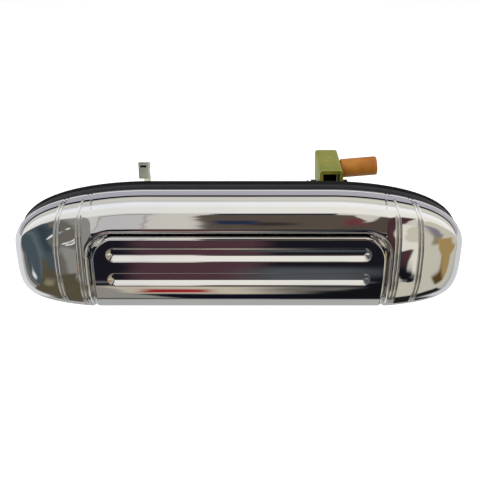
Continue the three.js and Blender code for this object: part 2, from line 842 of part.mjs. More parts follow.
const armEnd = push.y + 7;
add(
  "arm_right",
  armWith((s) => {
    s.lineTo(armEnd - 2.5, armUnder);
    s.quadraticCurveTo(armEnd, armUnder, armEnd, armUnder + 2.5);
    s.lineTo(armEnd, armUnder + 5);
    s.quadraticCurveTo(armEnd, armUnder + 7, armEnd - 2, armUnder + 7);
  }),
  0xc9cbc2,
  0.32,
  1,
);

const hook = {
  y0: lever.y - 6,
  y1: lever.y + 4,
  z0: lever.z + 6.5,
  z1: lever.z + 18.8,
  fall: 3.4,
  wide: 5.3,
  sheet: 1.6,
};
let armLeft = armWith((s) => {
  s.lineTo(hook.y0 - 6, armUnder);
  s.lineTo(hook.y0 + 2, hook.z0 - 3);
  s.lineTo(hook.y1, hook.z0);
  s.lineTo(hook.y0 + 5.5, (hook.z0 + hook.z1) / 2);
  s.lineTo(hook.y1, hook.z1 - hook.fall - 3);
  s.lineTo(hook.y1, hook.z1 - hook.fall);
  s.lineTo(hook.y0, hook.z1);
  s.lineTo(hook.y0, hook.z0 + 3);
  s.lineTo(hook.y0 - 8, armUnder + 7);
});
const hookX = armX - ARM_THICK / 2;
// the folded lip of the hook, with a slot through its top
const lip = polygon([
  [hook.y0, hook.z0 + 3],
  [hook.y0 + hook.sheet, hook.z0 + 3],
  [hook.y0 + hook.sheet, hook.z1 - hook.sheet - 0.9],
  [hook.y1, hook.z1 - hook.fall - hook.sheet],
  [hook.y1, hook.z1 - hook.fall],
  [hook.y0, hook.z1],
]);
armLeft = cut(
  join(armLeft, plateYZ(lip, hookX, hookX + hook.wide)),
  box(hookX + 1.1, hookX + hook.wide - 1.1, hook.y0 - 1, hook.y0 + 3, hook.z1 - 3, hook.z1 - 1.7),
);
add("arm_left", mirrorX(armLeft), 0xd2d4cb, 0.32, 1);

[["left", -1], ["right", 1]].forEach(([side, sign]) => {
  footScrewZ.forEach((z, i) => {
    const y = padRear + CLEAR + 2;
    let screw = turnedY(
      [
        [0, pivot.y - 1.6],
        [0.7, pivot.y - 1.6],
        [1.35, pivot.y - 0.8],
        [1.35, y + 0.1],
        [2.7, y + 0.1],
        [2.6, y + 1],
        [1.9, y + 1.7],
        [0, y + 1.9],
      ],
      sign * footScrewX,
      z,
      12,
    );
    const sx = sign * footScrewX;
    screw = cut(
      screw,
      box(sx - 1.5, sx + 1.5, y + 1, y + 3, z - 0.3, z + 0.3),
      box(sx - 0.3, sx + 0.3, y + 1, y + 3, z - 1.5, z + 1.5),
    );
    add("arm_screw_" + side + "_" + (i + 1), screw, 0xb4b7bb, 0.35, 1);
  });
});

// ---- rubber stops on the towers ----
[["left", -1], ["right", 1]].forEach(([side, sign]) => {
  add(
    "stop_bumper_" + side,
    turnedY(
      [
        [0, towerAt.y - 3.8],
        [2.2, towerAt.y - 3.8],
        [3.1, towerAt.y - 3],
        [3.4, towerAt.y - CLEAR],
        [1.5, towerAt.y - CLEAR],
        [1.5, towerAt.y + 6.1],
        [0.8, towerAt.y + 7],
        [0, towerAt.y + 7],
      ],
      sign * towerAt.x,
      towerAt.z,
      14,
    ),
    0x141416,
    0.9,
  );
});

// ---- lever: folded zinc-plated sheet, open below ----
const leverHalf = LEVER_WIDE / 2;
const webFront = lever.y - 8.5;
const webRear = lever.y + 22;
const webZ0 = lever.z + 14.8;
const webZ1 = webZ0 + 1.4;
const rodAt = { y: lever.y + 12, z: lever.z + 8.6 };

function cheekShape() {
  const s = new THREE.Shape();
  s.moveTo(webFront, webZ0);
  s.lineTo(lever.y - 10, lever.z + 5);
  s.lineTo(push.y + 3, push.z + 3.9);
  s.absarc(push.y, push.z, 4, 1.2, Math.PI * 1.5);
  s.lineTo(lever.y - 8, lever.z - 6.6);
  s.absarc(lever.y, lever.z, 6.6, -Math.PI / 2 - 0.2, -Math.PI / 2 + 0.5);
  s.lineTo(rodAt.y + 5.2, rodAt.z - 6.5);
  s.lineTo(webRear, webZ1 - 4.6);
  s.quadraticCurveTo(webRear + 0.9, webZ1 - 2, webRear - 0.4, webZ1);
  return s;
}

function webShape() {
  const t = LEVER_SHEET;
  return polygon([
    [webFront, webZ0 - t],
    [webRear - 1, webZ1 - t],
    [webRear - 0.4, webZ1 + 0.02],
    [webFront, webZ0 + 0.02],
  ]);
}

const leverLeft = lever.x - leverHalf;
const leverRight = lever.x + leverHalf;
let leverBody = join(
  plateYZ(cheekShape(), leverLeft, leverLeft + LEVER_SHEET, 6),
  plateYZ(cheekShape(), leverRight - LEVER_SHEET, leverRight, 6),
  plateYZ(webShape(), leverLeft, leverRight),
  rodX(4.6, leverLeft, leverRight, lever.y, lever.z),
);
leverBody = cut(
  leverBody,
  rodX(LEVER_PIN_R + RUN, leverLeft - 1, leverRight + 1, lever.y, lever.z),
  rodX(push.r - 0.4 + RUN / 2, leverLeft - 1, leverRight + 1, push.y, push.z, 20),
  rodX(2.5, leverRight - LEVER_SHEET - 1, leverRight + 1, rodAt.y, rodAt.z, 20),
);
// round over the folds of the web
const foldR = 1.6;
const fold = new THREE.Shape();
fold.moveTo(leverLeft - 1, 40);
fold.lineTo(leverLeft - 1, -40);
fold.lineTo(leverLeft, -40);
fold.lineTo(leverLeft, -foldR);
fold.absarc(leverLeft + foldR, -foldR, foldR, Math.PI, Math.PI / 2, true);
fold.lineTo(leverRight - foldR, 0);
fold.absarc(leverRight - foldR, -foldR, foldR, Math.PI / 2, 0, true);
fold.lineTo(leverRight, -40);
fold.lineTo(leverRight + 1, -40);
fold.lineTo(leverRight + 1, 40);
const foldTilt = Math.atan2(webZ1 - webZ0, webRear - 0.4 - webFront);
const foldCut = new THREE.ExtrudeGeometry(fold, { depth: 40, bevelEnabled: false, curveSegments: 5 });
foldCut.rotateX(Math.PI / 2);
foldCut.rotateX(foldTilt);
const run = 38;
foldCut.translate(0, webFront + run * Math.cos(foldTilt), webZ0 + run * Math.sin(foldTilt));
leverBody = cut(leverBody, solid(foldCut));
// the hole for the return spring's leg
const legHole = { y: lever.y + 7.4, z: lever.z + 2.2 };
leverBody = cut(
  leverBody,
  rodX(1, leverLeft - 1, leverLeft + LEVER_SHEET + 1, legHole.y, legHole.z, 14),
);
add("lever", leverBody, 0xa3a653, 0.38, 0.9);

// ---- pin that the right arm pushes on ----
add(
  "push_pin",
  turnedX(
    [
      [0, leverLeft - 0.7],
      [2.4, leverLeft - 0.7],
      [2.4, leverLeft - 0.05],
      [push.r - 0.4, leverLeft - 0.05],
      [push.r - 0.4, leverLeft + LEVER_SHEET + 0.1],
      [push.r, leverLeft + LEVER_SHEET + 0.1],
      [push.r, leverRight - LEVER_SHEET - 0.1],
      [push.r - 0.4, leverRight - LEVER_SHEET - 0.1],
      [push.r - 0.4, leverRight + 0.05],
      [2.4, leverRight + 0.05],
      [2.4, leverRight + 0.7],
      [0, leverRight + 0.7],
    ],
    push.y,
    push.z,
    20,
  ),
  0xa7aaae,
  0.35,
  1,
);

// ---- lever pin, its clip and the return spring ----
const pinStart = earLeft - 9.2;
const pinGroove = earRight + earThick + 0.4;
add(
  "lever_pin",
  turnedX(
    [
      [0, pinStart - 1.4],
      [4, pinStart - 1.4],
      [4.2, pinStart - 1],
      [4.2, pinStart],
      [LEVER_PIN_R, pinStart],
      [LEVER_PIN_R, pinGroove],
      [LEVER_PIN_R - 0.5, pinGroove],
      [LEVER_PIN_R - 0.5, pinGroove + 0.9],
      [LEVER_PIN_R, pinGroove + 0.9],
      [LEVER_PIN_R, pinGroove + 1.7],
      [LEVER_PIN_R - 0.4, pinGroove + 2.1],
      [0, pinGroove + 2.1],
    ],
    lever.y,
    lever.z,
  ),
  0xb4b7bb,
  0.3,
  1,
);
add("lever_pin_clip", eClip(pinGroove + 0.1, LEVER_PIN_R - 0.44, 4.6, lever.y, lever.z), 0x8d9094, 0.35, 1);

const leverCoil = { r: 3.9, wire: 0.6, pitch: 1.55 };
const leverTurns = 3.9;
const coilX = earLeft - 4.6;
const endAngle = Math.PI / 2 + leverTurns * Math.PI * 2;
const endX = coilX + (leverTurns * leverCoil.pitch) / 2;
const toHole = leverLeft + LEVER_SHEET + 0.6 - endX;
add(
  "lever_spring",
  torsionSpring(
    leverCoil,
    coilX,
    lever.y,
    lever.z,
    1,
    {
      angle: Math.PI / 2,
      leg: [
        [0, ledge.y - 2, lever.z + leverCoil.r],
        [0, ledge.y + 6, lever.z + leverCoil.r],
      ],
    },
    {
      leg: [
        [0.1, lever.y + 6.6, lever.z + 3.2],
        [1.1, legHole.y, legHole.z],
        [toHole * 0.55, legHole.y, legHole.z],
        [toHole, legHole.y, legHole.z],
      ],
    },
    leverTurns,
  ),
  0x9a9da2,
  0.3,
  1,
);

// ---- rod clip: moulded bush that takes the latch rod ----
const clipTilt = THREE.MathUtils.degToRad(5);
const clipStart = 0.5;
const clipLathe = turned(
  [
    [0, -LEVER_SHEET - 1.6],
    [1.7, -LEVER_SHEET - 1.6],
    [2.2, -LEVER_SHEET - 0.5],
    [1.9, -LEVER_SHEET - 0.3],
    [1.9, clipStart],
    [3.4, clipStart],
    [3.4, clipStart + 0.4],
    [ROD_CLIP_R, clipStart + 0.8],
    [ROD_CLIP_R, ROD_CLIP_LONG + clipStart - 0.6],
    [ROD_CLIP_R - 0.6, ROD_CLIP_LONG + clipStart],
    [0, ROD_CLIP_LONG + clipStart],
  ],
  24,
);
clipLathe.rotateZ(-Math.PI / 2);
let rodClip = solid(clipLathe);
// the channel for the rod, a slot into it and a cored end
const channelR = 1.6;
const channelX = clipStart + ROD_CLIP_LONG * 0.46;
const channel = new THREE.CylinderGeometry(channelR, channelR, ROD_CLIP_R * 6, 16);
channel.translate(channelX, 0, 0);
rodClip = cut(
  rodClip,
  solid(channel),
  box(channelX - 0.9, channelX + 0.9, 0, ROD_CLIP_R + 3, -1.1, 1.1),
  rodX(ROD_CLIP_R / 2, ROD_CLIP_LONG - 4, ROD_CLIP_LONG + 3, 0, 0, 16),
);
const clipPlace = new THREE.Matrix4()
  .makeRotationY(-clipTilt)
  .setPosition(leverRight, rodAt.y, rodAt.z);
rodClip = rodClip.transform(clipPlace.elements);
add("rod_clip", rodClip, 0xa5682a, 0.45);

// ---- studs, nuts, washers and bezel screws ----
const skinThick = 1;
[["left", -1], ["right", 1]].forEach(([side, sign]) => {
  const x = sign * studAt.x;
  add(
    "stud_" + side,
    turnedY(
      [
        [0, plateFront - 2.4],
        [5.2, plateFront - 2.4],
        [5.6, plateFront - 2],
        [5.6, plateFront - 0.15],
        [studR, plateFront - 0.15],
        [studR, 15],
        [2.4, 15.8],
        [0, 15.8],
      ],
      x,
      studAt.z,
    ),
    0xc0c2c0,
    0.35,
    1,
  );
  const washer = cut(
    rodY(9, skinThick + 0.1, skinThick + 1.4, x, studAt.z, 32),
    rodY(studR + CLEAR, skinThick - 1, skinThick + 2, x, studAt.z, 24),
  );
  add("washer_" + side, washer, 0xb0b3b6, 0.4, 1);
  const hex = new THREE.CylinderGeometry(5.75, 5.75, 5, 6);
  hex.translate(x, skinThick + 1.6 + 1 + 2.5, studAt.z);
  const flange = new THREE.CylinderGeometry(5.2, 7, 1.6, 32);
  flange.translate(x, skinThick + 1.6 + 0.8, studAt.z);
  const nut = cut(
    join(solid(hex), solid(flange)),
    rodY(studR + RUN, 0, 14, x, studAt.z, 24),
  );
  add("nut_" + side, nut, 0xa9a14f, 0.4, 0.9);
});

[["left", -1], ["right", 1]].forEach(([side, sign]) => {
  screwAt.forEach(([sx, z], i) => {
    const x = sign * sx;
    const head = plateRear + 0.1;
    let screw = turnedY(
      [
        [0, screwTip],
        [0.8, screwTip],
        [1.75, screwTip + 1.8],
        [1.75, head],
        [3.7, head],
        [3.6, head + 1.1],
        [2.6, head + 2.1],
        [0, head + 2.4],
      ],
      x,
      z,
      14,
    );
    screw = cut(
      screw,
      box(x - 1.9, x + 1.9, head + 1.2, head + 4, z - 0.35, z + 0.35),
      box(x - 0.35, x + 0.35, head + 1.2, head + 4, z - 1.9, z + 1.9),
    );
    add("bezel_screw_" + side + "_" + (i + 1), screw, 0x3a3c40, 0.45, 1);
  });
});

export default group;
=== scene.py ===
import json
import math
import bpy
import bmesh
import numpy as np
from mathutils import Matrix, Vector


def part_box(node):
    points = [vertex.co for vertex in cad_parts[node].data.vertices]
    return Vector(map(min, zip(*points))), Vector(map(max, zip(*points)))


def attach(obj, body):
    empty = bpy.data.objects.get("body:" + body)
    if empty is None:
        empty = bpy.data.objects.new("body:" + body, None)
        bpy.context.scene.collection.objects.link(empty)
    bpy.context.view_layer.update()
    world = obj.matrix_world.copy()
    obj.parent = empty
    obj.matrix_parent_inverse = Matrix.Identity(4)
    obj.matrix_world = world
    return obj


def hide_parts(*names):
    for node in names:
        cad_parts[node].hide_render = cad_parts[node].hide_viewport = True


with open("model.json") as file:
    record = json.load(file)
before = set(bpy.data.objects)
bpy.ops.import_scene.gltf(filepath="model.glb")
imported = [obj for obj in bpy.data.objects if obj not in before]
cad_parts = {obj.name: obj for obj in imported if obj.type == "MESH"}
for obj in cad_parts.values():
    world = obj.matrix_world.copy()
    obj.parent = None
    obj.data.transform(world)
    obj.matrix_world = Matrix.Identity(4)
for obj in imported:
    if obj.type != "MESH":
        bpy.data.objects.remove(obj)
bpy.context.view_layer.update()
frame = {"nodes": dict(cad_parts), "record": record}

scene = bpy.context.scene
mm = 0.001


def corners(node):
    low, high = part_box(node)
    return [v / mm for v in low], [v / mm for v in high]


bezelLow, bezelHigh = corners("bezel")
flapHigh = corners("flap")[1]
gasketLow = corners("gasket")[0]
joints = {j["name"]: j for j in frame["record"]["behaviour"]["joints"]}
pivot = [v / mm for v in joints["flap_pull"]["pos_m"]]
leverPivot = [v / mm for v in joints["lever_swing"]["pos_m"]]
clipPivot = [v / mm for v in joints["rod_clip_turn"]["pos_m"]]
clipAxis = Vector(joints["rod_clip_turn"]["axis"]).normalized()
noseRadius = 5.3  # of the flap's rounded upper edge, about its pin
flapGap = 0.9  # between the flap and the opening, all round
print("frame loaded", len(frame["nodes"]), "nodes")

# camera: square to the handle, looking down on it a little
shot = {"distance": 0.38, "elevation": 26, "aim": (0, -0.014, 0.00435), "lens": 57.3, "shift": 0.0027}
camera = bpy.data.cameras.new("camera")
camera.lens = shot["lens"]
camera.sensor_width = 36
camera.clip_start = 0.01
camera.shift_x = shot["shift"]
cameraObject = bpy.data.objects.new("camera", camera)
scene.collection.objects.link(cameraObject)
tilt = math.radians(shot["elevation"])
aim = Vector(shot["aim"])
cameraObject.location = aim + shot["distance"] * Vector((0, -math.cos(tilt), math.sin(tilt)))
cameraObject.rotation_euler = (math.pi / 2 - tilt, 0, 0)
scene.camera = cameraObject
scene.view_settings.view_transform = "Standard"


# sRGB hex to linear colour
def toLinear(code):
    out = []
    for i in (1, 3, 5):
        c = int(code[i:i + 2], 16) / 255
        out.append(c / 12.92 if c <= 0.04045 else ((c + 0.055) / 1.055) ** 2.4)
    return (*out, 1)


# a node with its settings; a link goes to the socket named, or to socket n where the name is i and n
def addNode(tree, kind, settings=None, **links):
    node = tree.nodes.new(kind)
    for key, value in (settings or {}).items():
        if key in node.inputs.keys() or isinstance(key, int):
            node.inputs[key].default_value = value
        else:
            setattr(node, key, value)
    for key, source in links.items():
        numbered = key[0] == "i" and key[1:].isdigit()
        tree.links.new(source, node.inputs[int(key[1:]) if numbered else key.replace("_", " ")])
    return node


def rampStops(node, stops):
    ramp = node.color_ramp
    while len(ramp.elements) > 1:
        ramp.elements.remove(ramp.elements[-1])
    ramp.elements[0].position, ramp.elements[0].color = stops[0]
    for place, colour in stops[1:]:
        ramp.elements.new(place).color = colour


# the room that the chrome mirrors: [colour, left, right, low, high, softness across, softness up, lean];
# across is the direction's X, up is its angle in degrees: 0 level in front, 90 overhead, 180 level behind;
# lean slants the sides of a patch, the way walls of a room converge
room = [
    ["#10131f", -2, 2, -76, -40, 0.1, 3, 0],
    ["#1b1a22", -2, 2, -40, -7, 0.1, 2, 0],
    ["#d6d1c8", -2, 2, -7, 47, 0.1, 2.5, 0],
    ["#f4f2ea", -2, 2, 47, 80, 0.1, 3, 0],
    ["#ffffff", -2, 2, 74, 98, 0.1, 9, 0],
    ["#dcd9cd", -2, 2, 103, 125, 0.1, 6, 0],
    ["#0a0a0d", -2, 2, 128, 142, 0.1, 3, 0],
    ["#b5b2bd", -2, 2, 143, 185, 0.1, 4, 0],
    # lower front: mauve and red in the left half, grey in the right
    ["#51383f", -0.135, 0.03, -37, -12, 0.02, 2, 0],
    ["#52565a", 0.02, 0.18, -34, -26, 0.05, 3, 0],
    ["#c9bfae", -0.21, 0.06, -60, -46, 0.06, 2, 0],
    ["#9c1f24", -0.125, -0.03, -57, -51, 0.015, 1.5, 0],
    ["#6f6b66", 0.03, 0.2, -53, -47, 0.05, 3, 0],
    # level in front: a pale grey patch left, a brown-grey room right with a navy edge
    ["#8d8883", -0.30, -0.125, -4, 44, 0.003, 1.2, 0],
    ["#cbc7c6", -0.29, -0.13, -4, 42, 0.003, 1.2, 0],
    ["#1b2238", -0.04, 0.15, 38, 46, 0.008, 1.2, 0],
    ["#5a5048", -0.05, 0.22, -7, 41, 0.006, 1.2, 0],
    ["#544a44", 0.05, 0.28, -7, 45, 0.006, 1.2, 1],
    ["#372f2f", 0.02, 0.08, 6, 16, 0.02, 4, 0],
    ["#27304a", -0.03, 0.03, 10, 22, 0.01, 2, 0],
    ["#6e3a40", 0.17, 0.22, 8, 30, 0.02, 5, 0],
    # past the first rings
    ["#96938c", -2, -0.25, -72, 50, 0.01, 4, -1],
    ["#6f6c62", -2, -0.40, -72, 50, 0.03, 6, -1],
    ["#4a3236", 0.25, 0.39, -30, 52, 0.012, 4, 1],
    ["#e6e3d8", 0.37, 0.47, -36, 26, 0.012, 4, 1],
    ["#15151a", 0.22, 0.42, -75, -32, 0.015, 4, 1],
    # the ends: cool and dark to the left, pale and beige to the right
    ["#4c585e", -2, -0.50, -64, 52, 0.008, 2, -1],
    ["#5d6a70", -0.74, -0.66, -60, 40, 0.03, 4, -1],
    ["#39444a", -0.60, -0.52, -20, 44, 0.03, 8, -1],
    ["#5b5443", -0.66, -0.30, -100, -36, 0.01, 2, 0],
    ["#8b836c", -0.60, -0.48, -60, -46, 0.04, 5, 0],
    ["#f2f4f4", -0.81, -0.74, -60, -53, 0.02, 3, 0],
    ["#cbc8b8", 0.46, 2, -80, 54, 0.008, 3, 1],
    ["#8f8670", 0.56, 0.68, -8, 20, 0.03, 6, 1],
    ["#a98f5e", 0.74, 0.96, -60, 6, 0.02, 4, 0],
    ["#5c4628", 0.60, 0.76, -62, -44, 0.03, 4, 0],
    ["#857c8c", 0.70, 0.80, 12, 34, 0.03, 5, 0],
    ["#20201f", 0.28, 0.62, -112, -74, 0.02, 3, 0],
    # pale ground behind the ends
    ["#e6e8e8", -2, -0.42, -180, -92, 0.03, 6, 0],
    ["#d9dadb", 0.42, 2, -180, -92, 0.03, 6, 0],
    # small bright windows
    ["#ffffff", -0.515, -0.495, -24, -19, 0.004, 1, 0],
    ["#ffffff", -0.515, -0.495, -16, -11, 0.004, 1, 0],
    ["#ffffff", -0.485, -0.468, -20, -15, 0.004, 1, 0],
    ["#ffffff", -0.645, -0.62, 4, 9, 0.004, 1, 0],
    ["#ffffff", -0.61, -0.59, 12, 17, 0.004, 1, 0],
]
roomRipple = 0.09  # keeps the borders of the patches from being dead straight
roomSlant = {"from": -28.0, "perDegree": 0.0037}
world = bpy.data.worlds.new("room")
scene.world = world
world.use_nodes = True
tree = world.node_tree
tree.nodes.clear()
coords = addNode(tree, "ShaderNodeTexCoord")
wobble = addNode(tree, "ShaderNodeTexNoise", {"Scale": 4.0, "Detail": 3.0},
                 Vector=coords.outputs["Generated"])
shifted = addNode(tree, "ShaderNodeVectorMath", {"operation": "MULTIPLY_ADD", 1: [roomRipple] * 3},
                  i0=wobble.outputs["Color"], i2=coords.outputs["Generated"])
centred = addNode(tree, "ShaderNodeVectorMath", {"operation": "SUBTRACT", 1: [roomRipple / 2] * 3},
                  i0=shifted.outputs[0])
axes = addNode(tree, "ShaderNodeSeparateXYZ", None, Vector=centred.outputs[0])
forward = addNode(tree, "ShaderNodeMath", {"operation": "MULTIPLY", 1: -1.0}, i0=axes.outputs[1])
angle = addNode(tree, "ShaderNodeMath", {"operation": "ARCTAN2"}, i0=axes.outputs[2], i1=forward.outputs[0])
degrees = addNode(tree, "ShaderNodeMath", {"operation": "MULTIPLY", 1: math.degrees(1)},
                  i0=angle.outputs[0])


# 1 between low and high, 0 outside, with soft borders
def window(source, low, high, soft):
    sides = []
    for dark, bright in ((low - soft, low + soft), (high + soft, high - soft)):
        side = addNode(tree, "ShaderNodeMapRange", {1: dark, 2: bright, "interpolation_type": "SMOOTHSTEP"},
                       i0=source)
        sides.append(side.outputs[0])
    return addNode(tree, "ShaderNodeMath", {"operation": "MULTIPLY"}, i0=sides[0], i1=sides[1]).outputs[0]


# a colour laid over what is under it, by its share
def overlay(share, under, colour):
    node = addNode(tree, "ShaderNodeMix", {"data_type": "RGBA", 7: toLinear(colour)}, i0=share)
    if isinstance(under, str):
        node.inputs[6].default_value = toLinear(under)
    else:
        tree.links.new(under, node.inputs[6])
    return node.outputs[2]


acrossBy = {0: axes.outputs[0]}
for lean in (-1, 1):
    above = addNode(tree, "ShaderNodeMath", {"operation": "ADD", 1: -roomSlant["from"]},
                    i0=degrees.outputs[0])
    slant = addNode(tree, "ShaderNodeMath", {"operation": "MULTIPLY_ADD", 1: -roomSlant["perDegree"] * lean},
                    i0=above.outputs[0], i2=axes.outputs[0])
    acrossBy[lean] = slant.outputs[0]
seenColour = "#b4b4b2"
for colour, left, right, low, high, softX, softUp, lean in room:
    across = window(acrossBy[lean], left, right, softX)
    upward = window(degrees.outputs[0], low, high, softUp)
    both = addNode(tree, "ShaderNodeMath", {"operation": "MULTIPLY"}, i0=across, i1=upward)
    seenColour = overlay(both.outputs[0], seenColour, colour)
# the room is for the gloss only: matt surfaces and the ground behind the handle get white
seen = addNode(tree, "ShaderNodeLightPath")
seenColour = overlay(seen.outputs["Is Diffuse Ray"], seenColour, "#ffffff")
seenColour = overlay(seen.outputs["Is Camera Ray"], seenColour, "#ffffff")
background = addNode(tree, "ShaderNodeBackground", {"Strength": 1.0}, Color=seenColour)
addNode(tree, "ShaderNodeOutputWorld", None, Surface=background.outputs[0])

lamps = {
    "keyLight": {"at": (-0.5, -0.5, 0.9), "size": 0.7, "power": 9},
    "fillLight": {"at": (0.7, -0.3, 0.7), "size": 0.6, "power": 5},
}
for name, spec in lamps.items():
    light = bpy.data.lights.new(name, "AREA")
    light.energy = spec["power"]
    light.size = spec["size"]
    lamp = bpy.data.objects.new(name, light)
    lamp.location = spec["at"]
    lamp.visible_glossy = False
    lamp.rotation_euler = (aim - Vector(spec["at"])).to_track_quat("-Z", "Y").to_euler()
    scene.collection.objects.link(lamp)
print("camera and room ready")


def makeMaterial(name, colour, metallic=0.0, roughness=0.4, **more):
    material = bpy.data.materials.new(name)
    material.use_nodes = True
    shader = material.node_tree.nodes["Principled BSDF"]
    shader.inputs["Base Color"].default_value = toLinear(colour)
    shader.inputs["Metallic"].default_value = metallic
    shader.inputs["Roughness"].default_value = roughness
    for key, value in more.items():
        shader.inputs[key.replace("_", " ")].default_value = value
    return material, material.node_tree, shader


# a pattern's scale from its real size: one feature every so many millimetres
def perMillimetre(size):
    return 1000 / size


# grain that changes roughness and height: its size in mm, the two roughnesses, bump strength and mm of height
def surfaceDetail(tree, shader, place, size, roughLow, roughHigh, strength, distance):
    grain = addNode(tree, "ShaderNodeTexNoise", {"Scale": perMillimetre(size), "Detail": 3.0},
                    Vector=place.outputs["Object"])
    rough = addNode(tree, "ShaderNodeMapRange", {3: roughLow, 4: roughHigh}, i0=grain.outputs[0])
    tree.links.new(rough.outputs[0], shader.inputs["Roughness"])
    height = addNode(tree, "ShaderNodeBump", {"Strength": strength, "Distance": distance * mm},
                     Height=grain.outputs[0])
    tree.links.new(height.outputs[0], shader.inputs["Normal"])


# two close colours that drift into each other: the size of the clouds in mm and the colours
def tintedColour(tree, shader, place, size, first, second):
    clouds = addNode(tree, "ShaderNodeTexNoise", {"Scale": perMillimetre(size), "Detail": 4.0},
                     Vector=place.outputs["Object"])
    ramp = addNode(tree, "ShaderNodeValToRGB", None, Fac=clouds.outputs[0])
    rampStops(ramp, [(0.35, toLinear(first)), (0.65, toLinear(second))])
    tree.links.new(ramp.outputs[0], shader.inputs["Base Color"])


def workedMaterial(name, colour, metallic, roughness, grain, clouds, **more):
    material, tree, shader = makeMaterial(name, colour, metallic, roughness, **more)
    place = addNode(tree, "ShaderNodeTexCoord")
    surfaceDetail(tree, shader, place, *grain)
    tintedColour(tree, shader, place, *clouds)
    return material


# bright nickel-chrome on a polished zinc casting: a clean mirror with a very faint polish ripple
chromeDieCast = workedMaterial("chromeDieCast", "#e9eaec", 1.0, 0.04,
                               (9, 0.02, 0.07, 0.05, 0.05), (60, "#e4e5e8", "#eeedeb"))
# glass-filled nylon from the mould: satin black; the spark texture is finer, and drawn coarse enough to show
nylonMoulded = workedMaterial("nylonMoulded", "#0c0c0e", 0.0, 0.42, (0.7, 0.34, 0.5, 0.25, 0.04),
                              (14, "#09090b", "#121216"), IOR=1.53, Specular_IOR_Level=0.22)
# moulded polypropylene: a little greyer and duller than the nylon, its texture drawn coarse too
polypropyleneMoulded = workedMaterial("polypropyleneMoulded", "#131316", 0.0, 0.55,
                                      (0.9, 0.48, 0.62, 0.35, 0.05), (18, "#101113", "#1a1b1e"),
                                      IOR=1.49, Specular_IOR_Level=0.3)
# pressed EPDM: matt near-black, with a slight bloom
epdmMoulded = workedMaterial("epdmMoulded", "#0b0b0c", 0.0, 0.75, (0.5, 0.62, 0.85, 0.3, 0.04),
                             (8, "#070708", "#101011"), IOR=1.5, Specular_IOR_Level=0.2)
# natural acetal from the mould: milky, faintly waxy
acetalNatural = workedMaterial("acetalNatural", "#e6e2d6", 0.0, 0.38,
                               (1.2, 0.32, 0.45, 0.1, 0.03), (6, "#dfdacb", "#ebe8dd"), IOR=1.48)
# pressed steel, clear passivated zinc: pale, half metal and half milky, drifting from green-grey to cream
clearZincSteel = workedMaterial("clearZincSteel", "#d4d6cb", 0.6, 0.42,
                                (1.6, 0.22, 0.4, 0.15, 0.03), (7, "#b9beb2", "#dcdbc4"))
# bright zinc on turned steel: cool and clean, with a soft haze
brightZincSteel = workedMaterial("brightZincSteel", "#bfc2c6", 1.0, 0.28,
                                 (0.8, 0.2, 0.36, 0.12, 0.02), (5, "#b4b8bd", "#cccdca"))
# drawn and oiled spring wire: mid grey, unevenly shiny
springWire = workedMaterial("springWire", "#7c7f84", 1.0, 0.32,
                            (0.5, 0.25, 0.42, 0.15, 0.02), (3, "#6b6e73", "#8d9095"))
# yellow chromate on zinc-plated steel: olive gold that drifts to green
yellowZincSteel = workedMaterial("yellowZincSteel", "#a7a850", 0.8, 0.26,
                                 (1.8, 0.26, 0.42, 0.15, 0.03), (9, "#8f9a36", "#b9b44c"))
# orange-brown acetal, moulded with a satin skin that lets a little light in
acetalAmber = workedMaterial("acetalAmber", "#8a561c", 0.0, 0.36, (1.1, 0.3, 0.44, 0.12, 0.03),
                             (10, "#7f4a16", "#94601f"), IOR=1.48, Specular_IOR_Level=0.35,
                             Subsurface_Weight=0.08, Subsurface_Radius=(0.002, 0.001, 0.0004))
# black zinc on a thread-forming screw: dark metal with a dull shine
blackZincSteel = workedMaterial("blackZincSteel", "#33353a", 0.9, 0.4,
                                (0.6, 0.32, 0.5, 0.15, 0.02), (4, "#2b2d31", "#41444a"))
print("materials made")


# mesh to finished piece: welded, shaded, given its material and put on its body
def finishPiece(name, mesh, material, body, replaced=(), sharp=38):
    weld = 2e-6
    work = bmesh.new()
    work.from_mesh(mesh)
    bmesh.ops.remove_doubles(work, verts=work.verts, dist=weld)
    bmesh.ops.dissolve_degenerate(work, dist=weld / 2, edges=work.edges)
    bmesh.ops.recalc_face_normals(work, faces=work.faces)
    work.to_mesh(mesh)
    work.free()
    for polygon in mesh.polygons:
        polygon.use_smooth = True
    mesh.set_sharp_from_angle(angle=math.radians(sharp))
    mesh.materials.append(material)
    piece = bpy.data.objects.new(name, mesh)
    scene.collection.objects.link(piece)
    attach(piece, body)
    if replaced:
        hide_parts(*replaced)
    return piece


# points in millimetres
def meshFrom(name, points, faces):
    mesh = bpy.data.meshes.new(name)
    mesh.from_pydata([tuple(v * mm for v in p) for p in points], [], faces)
    mesh.update()
    return mesh


# quads over a table of points, rows by columns
class Patches:
    def __init__(self):
        self.points = []
        self.faces = []

    def grid(self, table, wrap=False):
        rows, columns = len(table), len(table[0])
        start = len(self.points)
        for row in table:
            self.points.extend(tuple(float(v) for v in p) for p in row)
        for i in range(rows - 1):
            for j in range(columns if wrap else columns - 1):
                k = (j + 1) % columns
                self.faces.append((start + i * columns + j, start + i * columns + k,
                                   start + (i + 1) * columns + k, start + (i + 1) * columns + j))

    def fan(self, ring):
        start = len(self.points)
        self.points.extend(tuple(float(v) for v in p) for p in ring)
        self.faces.append(tuple(range(start, start + len(ring))))


